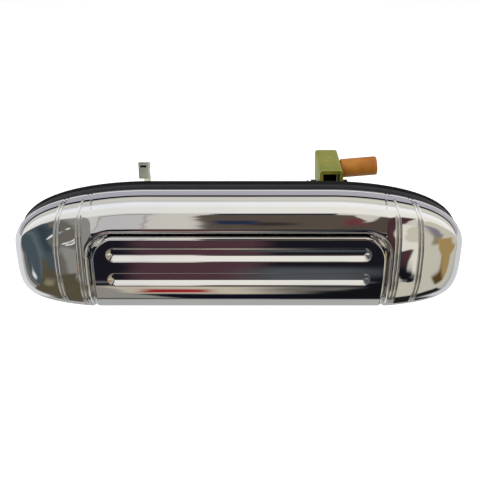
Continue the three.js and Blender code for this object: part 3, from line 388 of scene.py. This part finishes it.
# outline of the housing, the same curves as the CAD
shell = {
    "half": bezelHigh[0], "top": bezelHigh[2], "bottom": bezelLow[2], "front": -bezelLow[1],
    "shoulder": {"flat": 67, "pull": 19, "drop": 3.5}, "sole": {"flat": 46.8, "past": 2, "rise": 9.5},
    "endRise": 2, "edgeInset": 0.25,
    "flange": -11.9, "spine": flapHigh[0] - 1.6, "wallMiddle": 16.5, "wallEnd": 14.5,
    "openHalf": flapHigh[0] + flapGap, "openTop": pivot[2] + noseRadius + flapGap, "openRadius": 12.4,
    "openDeep": -7.3, "lipDeep": -20, "plate": 1.1,
    "lipSide": 1.7, "lipTop": 3.4, "grooves": (76.3, 87.8), "grooveApart": 0.85,
    "grooveDeep": 0.38, "grooveWide": 0.34, "lean": 0.22,
}
midZ = (shell["top"] + shell["bottom"]) / 2
endZ = midZ + shell["endRise"]


# points of a cubic curve
def bezier(points, steps):
    t = np.linspace(0, 1, steps)[:, None]
    a, b, c, d = (np.array(p, float) for p in points)
    return (1 - t) ** 3 * a + 3 * (1 - t) ** 2 * t * b + 3 * (1 - t) * t ** 2 * c + t ** 3 * d


half, top, bottom = shell["half"], shell["top"], shell["bottom"]
shoulder, sole = shell["shoulder"], shell["sole"]
upperEnd = bezier([(half - shoulder["flat"], top), (half - shoulder["flat"] + shoulder["pull"], top),
                   (half, top - shoulder["drop"]), (half, endZ)], 600)
lowerEnd = bezier([(half, endZ), (half, bottom + sole["rise"]), (half + sole["past"], bottom),
                   (half - sole["flat"], bottom)], 600)
lowerUp = lowerEnd[::-1]


def edgeTop(x):
    return np.interp(np.abs(x), upperEnd[:, 0], upperEnd[:, 1])


def edgeBottom(x):
    return np.interp(np.abs(x), lowerUp[:, 0], lowerUp[:, 1])


spine = shell["spine"]
upperDown = upperEnd[::-1]
around = np.vstack([[(spine, bottom)], lowerUp[lowerUp[:, 0] > spine], upperDown[upperDown[:, 0] > spine],
                    [(spine, top)]])
aroundAngle = np.arctan2(around[:, 1] - midZ, around[:, 0] - spine)
aroundReach = np.hypot(around[:, 1] - midZ, around[:, 0] - spine)
order = np.argsort(aroundAngle)
aroundAngle, aroundReach = aroundAngle[order], aroundReach[order]


def smooth(v, low, high):
    t = np.clip((v - low) / (high - low), 0, 1)
    return t * t * (3 - 2 * t)


# how far the dome stands forward at a place, and the height of its edge wall there
def domeAt(x, z):
    ax = np.abs(x)
    inEnd = ax > spine
    angle = np.arctan2(z - midZ, np.maximum(ax - spine, 1e-6))
    reachEnd = np.interp(angle, aroundAngle, aroundReach)
    reachMid = np.where(z > midZ, edgeTop(x) - midZ, midZ - edgeBottom(x))
    reach = np.where(inEnd, reachEnd, reachMid)
    out = np.where(inEnd, np.hypot(ax - spine, z - midZ), np.abs(z - midZ))
    edgeX = np.where(inEnd, spine + reachEnd * np.cos(angle), ax)
    inner = reach - shell["edgeInset"]
    share = np.clip((inner - out) / inner, 0, 1)
    e = smooth(edgeX, spine - 4, spine + 34)
    wall = shell["wallMiddle"] + (shell["wallEnd"] - shell["wallMiddle"]) * e
    span = 16 + (reach * 0.98 - 16) * e
    power = 2 + 0.2 * e
    t = np.minimum(1, reach * share / span)
    return wall + (shell["front"] - wall) * np.sqrt(np.maximum(0, 1 - (1 - t) ** power)), wall


# how far across the rolled lip of the opening a place is, 0 at its inner edge, 1 at its outer
def acrossLip(x, z):
    ax = np.abs(x)
    low = np.zeros_like(ax)
    high = np.ones_like(ax)
    cornerX = shell["openHalf"] - shell["openRadius"]
    cornerZ = shell["openTop"] - shell["openRadius"]

    def outside(t):
        cz = cornerZ + (shell["lipTop"] - shell["lipSide"]) * t
        r = shell["openRadius"] + shell["lipSide"] * t
        side = ax - (shell["openHalf"] + shell["lipSide"] * t)
        above = z - (shell["openTop"] + shell["lipTop"] * t)
        corner = np.hypot(ax - cornerX, z - cz) - r
        return np.where(z < cz, side, np.where(ax < cornerX, above, corner))

    for _ in range(24):
        mid = (low + high) / 2
        past = outside(mid) > 0
        low = np.where(past, mid, low)
        high = np.where(past, high, mid)
    return (low + high) / 2


# each ring is a pair of fine grooves
def grooveDepth(xc):
    depth = np.zeros_like(xc)
    for g in shell["grooves"]:
        for side in (-1, 1):
            depth += shell["grooveDeep"] * np.exp(
                -((np.abs(xc) - g - side * shell["grooveApart"]) / shell["grooveWide"]) ** 2)
    return depth


# where the columns of the shell's mesh stand: close together at the lip, the rings and the ends
def columnPlaces():
    lastEven = 106
    stretches = [(0, 58, 2.0), (58, 70, 0.5), (70, 72.3, 0.16), (78.6, 85.6, 0.7), (90, lastEven, 0.7)]
    stretches += [(g - 2, g + 2, 0.1) for g in shell["grooves"]]
    places = [p for start, stop, step in stretches for p in np.arange(start, stop, step)]
    places += [shell["openHalf"] + shell["lipSide"] * (1 - math.cos(a))
               for a in np.linspace(0, math.pi / 2, 11)]
    places += [lastEven + (half - 0.05 - lastEven) * math.sin(a) for a in np.linspace(0, math.pi / 2, 46)]
    places = sorted(set(round(p, 4) for p in places))
    return np.array([-p for p in places[:0:-1]] + places)


def bezelMesh():
    xc = columnPlaces()
    openHalf, lipHalf = shell["openHalf"], shell["openHalf"] + shell["lipSide"]
    cornerX = openHalf - shell["openRadius"]
    cornerZ = shell["openTop"] - shell["openRadius"]
    lipR = shell["openRadius"] + shell["lipSide"]
    lipCornerZ = shell["openTop"] + shell["lipTop"] - lipR

    def openZ(x):
        ax = np.minimum(np.abs(x), openHalf)
        arc = cornerZ + np.sqrt(np.maximum(0, shell["openRadius"] ** 2 - np.maximum(0, ax - cornerX) ** 2))
        return np.where(ax < cornerX, shell["openTop"], arc)

    def lipZ(x):
        ax = np.minimum(np.abs(x), lipHalf)
        arc = lipCornerZ + np.sqrt(np.maximum(0, lipR ** 2 - np.maximum(0, ax - cornerX) ** 2))
        return np.where(ax < cornerX, shell["openTop"] + shell["lipTop"], arc)

    def scaled(x, base):
        # keeps a row's share of the height where the ends get lower
        share = (base - edgeBottom(lipHalf)) / (edgeTop(lipHalf) - edgeBottom(lipHalf))
        return np.where(np.abs(x) > lipHalf, edgeBottom(x) + share * (edgeTop(x) - edgeBottom(x)), base)

    # rows from the top edge to the lip, over the lip, and from the opening's edge to the bottom edge
    above, over, below = 64, 14, 54
    inset = shell["edgeInset"]
    rows = [("above", 1 - math.cos(math.pi / 2 * k / above)) for k in range(above + 1)]
    rows += [("over", 1 - math.cos(math.pi / 2 * (1 - k / over))) for k in range(1, over + 1)]
    rows += [("below", math.sin(math.pi / 2 * k / below)) for k in range(1, below + 1)]
    # the rings lean with the depth, so their columns do
    weight = smooth(np.abs(xc), 40, 74) * (1 - smooth(np.abs(xc), 92, 112))
    table = []
    for kind, f in rows:
        x = xc.copy()
        for _ in range(5):
            lip, opening = scaled(x, lipZ(xc)), scaled(x, openZ(xc))
            if kind == "above":
                z = edgeTop(x) - inset + (lip - edgeTop(x) + inset) * f
            elif kind == "over":
                z = opening + (lip - opening) * f
            else:
                z = opening + (edgeBottom(x) + inset - opening) * f
            depth, wall = domeAt(x, z)
            t = acrossLip(x, z)
            y = -(depth - 3 * (1 - np.sqrt(np.maximum(0, 1 - (1 - t) ** 2))))
            lean = weight * shell["lean"] * np.maximum(0, y + shell["front"])
            x = xc - np.sign(xc) * lean
        table.append((x, y, z, wall))
    xs, ys, zs, walls = (np.array([row[k] for row in table]) for k in range(4))
    # grooves go in along the surface normal
    dx, dz = np.gradient(xs, axis=1), np.gradient(zs, axis=0)
    gx = np.gradient(ys, axis=1) / np.where(np.abs(dx) < 1e-6, 1e-6, dx)
    gz = np.gradient(ys, axis=0) / np.where(np.abs(dz) < 1e-6, -1e-6, dz)
    normal = np.stack([gx, -np.ones_like(gx), gz])
    normal /= np.linalg.norm(normal, axis=0)
    cutIn = grooveDepth(xc) * (1 - smooth(-np.abs(xs), -75.0, -74.0))
    points = np.stack([xs - cutIn * normal[0], ys - cutIn * normal[1], zs - cutIn * normal[2]], axis=-1)
    patches = Patches()
    front = above + over + 1
    inner = np.abs(xc) <= openHalf + 1e-3
    outside = np.abs(xc) >= openHalf - 1e-3
    patches.grid(points[:front])
    for side in (-1, 1):
        outer = np.where(outside & (side * xc > 0))[0][::side]
        patches.grid(points[front - 1:, outer[::side]])
        # end of the shell
        column = points[:, outer[-1]]
        patches.grid([column, [(p[0], shell["flange"], p[2]) for p in column]])
        # side of the opening, going in
        column = points[front - 1:, outer[0]]
        patches.grid([[(p[0], p[1] + (shell["openDeep"] - p[1]) * s, p[2]) for p in column]
                      for s in (0, 0.3, 1)])
    # underside of the lip above the flap
    edge = points[front - 1, inner]
    patches.grid([[(p[0], p[1] + (shell["lipDeep"] - p[1]) * s, p[2]) for p in edge] for s in (0, 0.5, 1)])
    # edge wall with a rolled rim against the base: share of the wall's height, and inset
    rim = [(0.5, 0.28), (0.27, 0.32), (0.22, 0.26), (0.19, 0.12), (0.16, 0.03), (0.12, 0.0), (0.0, 0.0)]
    whole = np.full(len(xc), True)
    edges = [(0, 1, whole), (-1, -1, outside & (xc < 0)), (-1, -1, outside & (xc > 0))]
    for row, up, group in edges:
        strips = [points[row][group]]
        for share, inset in rim:
            y = shell["flange"] - (walls[row][group] + shell["flange"]) * share
            lean = weight[group] * shell["lean"] * np.maximum(0, y + shell["front"])
            x = xc[group] - np.sign(xc[group]) * lean
            z = (edgeTop(x) if up > 0 else edgeBottom(x)) - up * (inset + grooveDepth(xc[group]))
            strips.append(np.stack([x, y, z], axis=-1))
        patches.grid(strips)
    return meshFrom("bezelShell", patches.points, patches.faces)


bezelShell = finishPiece("bezelShell", bezelMesh(), chromeDieCast, "housing", ["bezel"],
                         sharp=50)
# given its thickness here, so that no corner of the inside can stand past the housing's height
thick = bezelShell.modifiers.new("plate", "SOLIDIFY")
thick.thickness = shell["plate"] * mm
thick.offset = -1
bpy.context.view_layer.update()
walled = bpy.data.meshes.new_from_object(bezelShell.evaluated_get(bpy.context.evaluated_depsgraph_get()))
for v in walled.vertices:
    v.co.z = min(max(v.co.z, bezelLow[2] * mm), bezelHigh[2] * mm)
bezelShell.modifiers.clear()
bezelShell.data = walled
print("bezel made", len(bezelShell.data.vertices))

# flap: a fine skin over the face of the cast flap
paddle = {
    "half": flapHigh[0] + 0.06, "proud": 0.1, "rollFrom": 11.0, "rollTo": 12.75, "rollDeep": 1.7,
    "corner": 12.5, "edge": 1.6,
    # grooves: top, bottom and depth of each
    "slots": ((7.25, -0.25, 1.95), (-6.05, -13.55, 2.5)),
    "slotHalf": 64.0, "upperWall": 1.9, "lowerWall": 3.1,
}
py, pz = pivot[1], pivot[2]
face = bezier([(py - noseRadius, pz), (py - 7.9, pz - 19), (py - 4.9, bottom + 4),
               (py + 3.7, bottom + 1)], 400)
faceDown = face[::-1]


# the face at a height, before its corners and grooves
def faceY(z):
    low = np.interp(z, faceDown[:, 1], faceDown[:, 0]) - paddle["proud"]
    above = np.clip(z - pz, 0, 10)
    line = py - noseRadius - paddle["proud"] + 0.11 * above
    up = np.clip((z - paddle["rollFrom"]) / (paddle["rollTo"] - paddle["rollFrom"]), 0, 1)
    rolled = line + paddle["rollDeep"] * (1 - np.sqrt(1 - up * up))
    return np.where(z > pz, rolled, low)


# a straight ramp from 0 to 1 with its two bends rounded
def ramped(s, k):
    s = np.clip(s, 0, 1)
    first, last = s * s / (2 * k), 1 - k - (1 - s) ** 2 / (2 * k)
    whole = np.where(s < k, first, np.where(s > 1 - k, last, s - k / 2))
    return whole / (1 - k)


def flapMesh():
    h = paddle["half"]
    topZ = paddle["rollTo"]
    cornerX, cornerZ, cornerR = h - paddle["corner"], topZ - paddle["corner"], paddle["corner"]
    zs = [topZ - 1.75 * (1 - math.cos(a)) for a in np.linspace(0, math.pi / 2, 16)]
    zs += list(np.arange(topZ - 2.1, 8.0, -0.5))
    for high, low, _ in paddle["slots"]:
        zs += list(np.arange(high + 0.4, low - 0.5, -0.16))
    zs += list(np.arange(-0.9, -5.6, -0.5)) + list(np.arange(-14.2, bottom + 4, -0.5))
    rows = sorted(set(round(v, 3) for v in zs), reverse=True)
    tail = [p for p in face if p[1] < bottom + 4]
    xs = [h - paddle["edge"] * (1 - math.sin(a)) for a in np.linspace(0, math.pi / 2, 12)]
    xs += list(np.arange(h - paddle["edge"] - 0.2, 59, -0.22)) + list(np.arange(58, 0, -2.5)) + [0.0]
    xs = sorted(set(round(v, 4) for v in xs))
    xc = np.array([-v for v in xs[:0:-1]] + xs)
    ax = np.abs(xc)
    cornerTop = cornerZ + np.sqrt(np.maximum(0, cornerR ** 2 - (ax - cornerX) ** 2))
    columnTop = np.where(ax < cornerX, topZ, cornerTop)
    join = 8.0 + (1.0 - 8.0) * smooth(ax, 65, h)
    table = []
    for z0 in rows:
        z = np.where(z0 > join, join + (z0 - join) * (columnTop - join) / (topZ - join), z0)
        y = faceY(z)
        # rounded side edges and top corners
        inCorner = (z > cornerZ) & (ax > cornerX)
        away = np.where(inCorner, cornerR - np.hypot(ax - cornerX, z - cornerZ), h - ax)
        angle = np.arctan2(z - cornerZ, np.maximum(ax - cornerX, 1e-6))
        share = np.where(inCorner, 1 - smooth(angle, math.radians(50), math.radians(88)), 1)
        share = np.where((z > cornerZ) & (ax <= cornerX), 0, share)
        e = paddle["edge"]
        away = np.clip(away, 0, e)
        drop = (e - np.sqrt(np.maximum(0, e * e - (e - away) ** 2))) * share
        # finger grooves with round ends
        for high, low, deep in paddle["slots"]:
            r = (high - low) / 2
            run = np.hypot(np.maximum(0, ax - (paddle["slotHalf"] - r)), z - (high + low) / 2)
            below = smooth((high + low) / 2 - z, -0.6, 0.6)
            wallWide = paddle["upperWall"] + (paddle["lowerWall"] - paddle["upperWall"]) * below
            drop = drop + deep * ramped((r - run) / wallWide, 0.14)
        table.append(np.stack([xc, y + drop, z], axis=-1))
    for p in tail[::8] + [tail[-1]]:
        away = np.clip(h - ax, 0, paddle["edge"])
        drop = paddle["edge"] - np.sqrt(np.maximum(0, paddle["edge"] ** 2 - (paddle["edge"] - away) ** 2))
        table.append(np.stack([xc, p[0] - 0.08 + drop * 0.8, p[1] + drop * 0.2], axis=-1))
    under = [(py + 3.98, bottom + 1.15), (py + 4.05, bottom + 1.5), (py + 4.0, bottom + 3.2)]
    for uy, uz in under:
        table.append(np.stack([xc, np.full_like(xc, uy), np.full_like(xc, uz)], axis=-1))
    patches = Patches()
    patches.grid(table)
    # over the nose to the back
    first = table[0]
    r = noseRadius + paddle["proud"]
    skirt = []
    for back in np.linspace(0, 1, 8):
        y = first[:, 1] + (py + 4.4 - first[:, 1]) * back
        arc = pz + np.sqrt(np.maximum(0, r * r - (y - py) ** 2))
        rise = np.clip((y - first[:, 1]) / np.maximum(py - first[:, 1], 1e-6), 0, 1)
        lifted = first[:, 2] + (pz + r - topZ) * (1 - (1 - rise) ** 2)
        z = np.where(y > py, np.minimum(lifted, arc), lifted)
        skirt.append(np.stack([first[:, 0], y, z], axis=-1))
    patches.grid(skirt)
    # sides, going back to the inside of the casting
    for j in (0, len(xc) - 1):
        column = [row[j] for row in table[:-3]]
        back = []
        for p in column:
            deep = py + 4.4 if p[2] > pz - 4.5 else min(p[1] + 3.4, py + 3.9)
            back.append((p[0], max(deep, p[1]), p[2]))
        patches.grid([column, back])
    return meshFrom("flapFace", patches.points, patches.faces)


flapFace = finishPiece("flapFace", flapMesh(), chromeDieCast, "flap", sharp=50)
print("flap made", len(flapFace.data.vertices))


# the outline of the housing, moved in
def outlineLoop(inset):
    right = np.vstack([upperEnd[::12], lowerEnd[12::12]])
    mid = np.array([(v, top) for v in np.arange(-40, 42, 5.0)])
    midLow = np.array([(v, bottom) for v in np.arange(60, -62, -5.0)])
    left = right[::-1] * np.array([-1, 1])
    loop = np.vstack([mid, right, midLow, left])
    foot = np.stack([np.clip(loop[:, 0], -spine, spine), np.full(len(loop), midZ)], axis=-1)
    away = foot - loop
    return loop + away * (inset / np.linalg.norm(away, axis=1))[:, None]


# a ring on that outline: its section is pairs of inset and depth
def ringMesh(name, section):
    patches = Patches()
    closed = section + section[:1]
    patches.grid([[(x, y, z) for x, z in outlineLoop(inset)] for inset, y in closed], wrap=True)
    return meshFrom(name, patches.points, patches.faces)


# moulded rim of the base, with a soft step that catches the light
rim = {"front": -11.75, "rear": -3.35, "inset": 0.45, "stepInset": 0.62}
front, rear, inset, stepInset = rim["front"], rim["rear"], rim["inset"], rim["stepInset"]
rimSection = [
    (0.68, front + 0.5), (0.62, front + 0.1), (stepInset, front + 0.4), (stepInset, front + 2.6),
    (inset + 0.06, front + 3.1), (inset, front + 3.4), (inset, rear - 1.2), (inset + 0.05, rear - 0.6),
    (inset + 0.2, rear - 0.15), (0.69, rear), (0.69, rear - 2), (0.695, front + 2),
]
finishPiece("baseRim", ringMesh("baseRim", rimSection), nylonMoulded, "housing", sharp=60)

# gasket: a lip at the outside that swells over the rim, and a shallow channel on the door side
gasketFront = gasketLow[1]
gasketSection = [
    (1.3, gasketFront), (1.0, gasketFront + 0.12), (0.85, gasketFront + 0.5), (0.8, -1.9), (0.45, -1.55),
    (0.12, -1.1), (0.04, -0.7), (0.08, -0.25), (0.3, 0.0), (3.0, 0.0), (3.3, -0.35), (3.9, -0.35), (4.2, 0.0),
    (5.4, 0.0), (6.4, -0.1), (6.7, -0.5), (6.7, gasketFront + 0.4), (6.4, gasketFront),
]
finishPiece("gasketRing", ringMesh("gasketRing", gasketSection), epdmMoulded, "housing",
            ["gasket"], sharp=60)
print("base rim and gasket made")


# a turned piece: its profile is pairs of radius and distance along the axis
def latheMesh(name, profile, origin, axis, steps=64):
    axis = Vector(axis).normalized()
    side = axis.orthogonal().normalized()
    other = axis.cross(side)
    table = []
    for radius, along in profile:
        ring = []
        for i in range(steps):
            a = i / steps * math.tau
            p = Vector(origin) + axis * along + (side * math.cos(a) + other * math.sin(a)) * radius
            ring.append(tuple(p))
        table.append(ring)
    patches = Patches()
    patches.grid(table, wrap=True)
    patches.fan(table[0])
    patches.fan(table[-1])
    return meshFrom(name, patches.points, patches.faces)


# rod clip: a moulded sleeve on a thin neck, with soft edges and a cored end
sleeve = {"radius": 5.2, "length": 20.6, "start": 0.5, "core": 2.5, "coreDeep": 4.0}
near, tip, r = sleeve["start"], sleeve["start"] + sleeve["length"], sleeve["radius"]
core = sleeve["core"]
sleeveProfile = [
    (0.6, -3.35), (1.6, -3.3), (2.15, -2.4), (1.95, -2.1), (1.9, -2.0), (1.9, near),
    (3.3, near), (3.4, near + 0.1), (3.4, 0.85), (3.5, 0.95), (r - 0.5, 1.2), (r - 0.2, 1.3),
    (r - 0.04, 1.55), (r, 1.9), (r, tip - 1.0), (r - 0.04, tip - 0.6), (r - 0.2, tip - 0.25),
    (r - 0.5, tip - 0.05), (4.3, tip),
    (core + 0.4, tip), (core + 0.15, tip - 0.12), (core + 0.05, tip - 0.4), (core, tip - sleeve["coreDeep"]),
    (0.3, tip - sleeve["coreDeep"]),
]
finishPiece("rodSleeve", latheMesh("rodSleeve", sleeveProfile, clipPivot, clipAxis, 96), acetalAmber, "clip",
            ["rod_clip"], sharp=55)


# a block with upright ribs on its front and rounded edges; the two blocks made with it below are painted
# shade
def ribbedMesh(name, low, high, ribs, rise, radius):
    work = bmesh.new()
    step = (high[0] - low[0]) / (2 * ribs - 1)
    outline = [(high[0], high[1]), (low[0], high[1])]
    for k in range(2 * ribs - 1):
        y = low[1] + rise * (k % 2)
        outline += [(low[0] + k * step, y), (low[0] + (k + 1) * step, y)]
    bottom, top = ([work.verts.new((x * mm, y * mm, z * mm)) for x, y in outline] for z in (low[2], high[2]))
    work.faces.new(bottom[::-1])
    work.faces.new(top)
    for a in range(len(outline)):
        b = (a + 1) % len(outline)
        work.faces.new((bottom[a], bottom[b], top[b], top[a]))
    bmesh.ops.bevel(work, geom=work.edges[:], offset=radius * mm, segments=3, affect="EDGES", profile=0.5)
    mesh = bpy.data.meshes.new(name)
    work.to_mesh(mesh)
    work.free()
    return mesh


# dark ribbed block between the lever's cheeks under its web, painted shade standing in for the shadow there;
# depths and heights from the lever's pin
shadePad = {"side": 2.1, "front": 1, "rear": 4, "low": 4.8, "high": 12.2, "ribs": 5, "rise": 0.8, "edge": 0.3}
leverLow, leverHigh = corners("lever")
ly, lz = leverPivot[1], leverPivot[2]
shadePadMesh = ribbedMesh("paintedShadePad", (leverLow[0] + shadePad["side"], ly + shadePad["front"], lz + shadePad["low"]),
                     (leverHigh[0] - shadePad["side"], ly + shadePad["rear"], lz + shadePad["high"]),
                     shadePad["ribs"], shadePad["rise"], shadePad["edge"])
finishPiece("paintedShadePad", shadePadMesh, epdmMoulded, "latch_lever", sharp=60)

# dark ribbed block filling the slot of the left arm's hook, painted shade for the shadowed opening; heights
# from the hook's top
hookShadeBlock = {"hookWide": 5.3, "side": 0.95, "front": -5.9, "rear": -4.6, "low": -3.1, "high": -1.6,
           "ribs": 2, "rise": 0.4, "edge": 0.2}
hookHigh = corners("arm_left")[1]
hookLeft = hookHigh[0] - hookShadeBlock["hookWide"]
hookShadeMesh = ribbedMesh(
    "paintedHookShade", (hookLeft + hookShadeBlock["side"], ly + hookShadeBlock["front"], hookHigh[2] + hookShadeBlock["low"]),
    (hookHigh[0] - hookShadeBlock["side"], ly + hookShadeBlock["rear"], hookHigh[2] + hookShadeBlock["high"]),
    hookShadeBlock["ribs"], hookShadeBlock["rise"], hookShadeBlock["edge"])
finishPiece("paintedHookShade", hookShadeMesh, epdmMoulded, "flap", sharp=60)


# threads as close rings, at the 1 mm pitch of a 6 mm thread
stud = {"radius": 3.0, "pitch": 1.0, "threadDeep": 0.42, "tip": 0.5}


def threadProfile(start, stop):
    radius, pitch, root = stud["radius"], stud["pitch"], stud["radius"] - stud["threadDeep"]
    out = []
    at = start
    while at < stop - pitch:
        out += [(root, at), (radius, at + pitch * 0.42), (radius, at + pitch * 0.55)]
        at += pitch
    return out + [(root, stop - stud["tip"]), (radius - 0.9, stop)]


for side, sign in (("left", -1), ("right", 1)):
    low, high = corners("stud_" + side)
    cx, cz = (low[0] + high[0]) / 2, (low[2] + high[2]) / 2
    y0, y1 = low[1], high[1]
    profile = [(5.0, 0), (5.45, 0.25), (5.55, 0.8), (5.55, 2.1), (5.3, 2.2), (2.95, 2.25), (2.95, 6.5)]
    profile += threadProfile(6.7, y1 - y0)
    finishPiece("threadedStud_" + side, latheMesh("threadedStud", profile, (cx, y0, cz), (0, 1, 0), 40),
                brightZincSteel, "housing", ["stud_" + side], sharp=45)

# pins with ground shanks and pressed heads
pins = {
    "flap_pin": {"r": 1.95, "head": 3.3, "headLong": 1.6, "y": pivot[1], "z": pivot[2]},
    "lever_pin": {"r": 2.5, "head": 4.2, "headLong": 1.4, "y": leverPivot[1], "z": leverPivot[2]},
}
for name, spec in pins.items():
    low, high = corners(name)
    n = high[0] - low[0]
    r, h, k = spec["r"], spec["head"], spec["headLong"]
    profile = [(h - 0.9, 0.0), (h - 0.35, 0.12), (h - 0.08, 0.5), (h, 0.9), (h, k), (r, k), (r, n - 2.35),
               (r - 0.5, n - 2.3), (r - 0.5, n - 1.4), (r, n - 1.35), (r, n - 0.5), (r - 0.15, n - 0.2),
               (r - 0.5, n)]
    turned = latheMesh(name + "Turned", profile, (low[0], spec["y"], spec["z"]), (1, 0, 0), 48)
    finishPiece(name + "Turned", turned, brightZincSteel, "housing", [name], sharp=40)
print("turned pieces made")


# a round wire along a smooth path
def wireMesh(name, path, radius, sides=12):
    pts = [Vector(p) for p in path]
    normal = None
    table = []
    for i, p in enumerate(pts):
        tangent = (pts[min(i + 1, len(pts) - 1)] - pts[max(i - 1, 0)]).normalized()
        if normal is None:
            normal = tangent.orthogonal().normalized()
        normal = (normal - tangent * normal.dot(tangent)).normalized()
        other = tangent.cross(normal)
        turns = [j / sides * math.tau for j in range(sides)]
        table.append([tuple(p + (normal * math.cos(a) + other * math.sin(a)) * radius) for a in turns])
    patches = Patches()
    patches.grid(table, wrap=True)
    patches.fan(table[0])
    patches.fan(table[-1])
    return meshFrom(name, patches.points, patches.faces)


# a torsion spring along X: the leg that leads in, the turns about a pin, and the leg that leads out
def coilPath(coil, x, y, z, sign, before, after):
    radius, along = coil["radius"], sign * coil["turns"] * coil["pitch"]
    path = [(x - along / 2, legY, legZ) for legY, legZ in before]
    steps = int(28 * coil["turns"])
    for i in range(steps + 1):
        a = math.pi / 2 + i / steps * coil["turns"] * math.tau
        path.append((x + (i / steps - 0.5) * along, y + radius * math.cos(a), z + radius * math.sin(a)))
    last = path[-1][0]
    return path + [(last + legX, legY, legZ) for legX, legY, legZ in after]


coil = {"radius": 3.15, "wire": 0.6, "turns": 3.75, "pitch": 1.55, "at": 28}
for side, sign in (("left", -1), ("right", 1)):
    legZ, restY = pz + coil["radius"], py + 3.25
    path = coilPath(coil, sign * coil["at"], py, pz, sign,
                    [(-7.8, legZ), (py + 10, legZ), (py + 5, legZ), (py + 1, legZ)],
                    [(0, restY, pz - 1.2), (0, restY, pz - 4), (0, restY, pz - 11.5)])
    finishPiece("coilSpring_" + side, wireMesh("coilSpring", path, coil["wire"]), springWire, "housing",
                ["flap_spring_" + side], sharp=60)
leverCoil = {"radius": 3.9, "wire": 0.6, "turns": 3.9, "pitch": 1.55}
low, high = corners("lever_spring")
springX = low[0] + leverCoil["wire"] + leverCoil["turns"] * leverCoil["pitch"] / 2
legZ, hookX = lz + leverCoil["radius"], high[0] - springX
path = coilPath(leverCoil, springX, ly, lz, 1,
                [(ly - 20, legZ), (ly - 12, legZ), (ly - 5, legZ), (ly - 1, legZ)],
                [(0.1, ly + 6.6, lz + 3.2), (1.1, ly + 7.4, lz + 2.2), (hookX - 3.4, ly + 7.4, lz + 2.2),
                 (hookX - 3.1, ly + 7.4, lz + 2.2)])
finishPiece("leverCoil", wireMesh("leverCoil", path, leverCoil["wire"]), springWire, "housing",
            ["lever_spring"], sharp=60)
print("springs made")

# pieces whose CAD shape stands: their finish and a small edge radius
finishes = {
    "base_frame": (nylonMoulded, 0.25), "pocket_tray": (polypropyleneMoulded, 0.3),
    "flap": (chromeDieCast, 0.12), "flap_cover": (polypropyleneMoulded, 0.12),
    "flap_bush_left": (acetalNatural, 0.12), "flap_bush_right": (acetalNatural, 0.12),
    "arm_left": (clearZincSteel, 0.25), "arm_right": (clearZincSteel, 0.25),
    "lever": (yellowZincSteel, 0.22), "push_pin": (brightZincSteel, 0.12),
    "flap_pin_clip": (springWire, 0.08), "lever_pin_clip": (springWire, 0.08),
    "stop_bumper_left": (epdmMoulded, 0.2), "stop_bumper_right": (epdmMoulded, 0.2),
    "washer_left": (brightZincSteel, 0.15), "washer_right": (brightZincSteel, 0.15),
    "nut_left": (yellowZincSteel, 0.22), "nut_right": (yellowZincSteel, 0.22),
}
for side in ("left", "right"):
    for i in (1, 2):
        finishes["arm_screw_%s_%d" % (side, i)] = (brightZincSteel, 0.1)
        finishes["bezel_screw_%s_%d" % (side, i)] = (blackZincSteel, 0.12)
for name, (material, radius) in finishes.items():
    node = frame["nodes"][name]
    node.data.materials.clear()
    node.data.materials.append(material)
    edge = node.modifiers.new("edge", "BEVEL")
    edge.width = radius * mm
    edge.segments = 2
    edge.limit_method = "ANGLE"
    edge.angle_limit = math.radians(40)
    edge.harden_normals = False
print("CAD pieces finished", len(finishes))

# floor, well below the handle and kept out of the chrome
ground = {"half": 4, "height": -0.11}
reach = ground["half"]
floorMesh = bpy.data.meshes.new("floor")
floorMesh.from_pydata([(-reach, -reach, 0), (reach, -reach, 0), (reach, reach, 0), (-reach, reach, 0)], [],
                      [(0, 1, 2, 3)])
floor = bpy.data.objects.new("floor", floorMesh)
floor.location.z = ground["height"]
floor.visible_glossy = False
scene.collection.objects.link(floor)
floorPaint = makeMaterial("floorPaint", "#fbfbfb", 0.0, 0.9)[0]  # matt white paint, plain on purpose
floorMesh.materials.append(floorPaint)
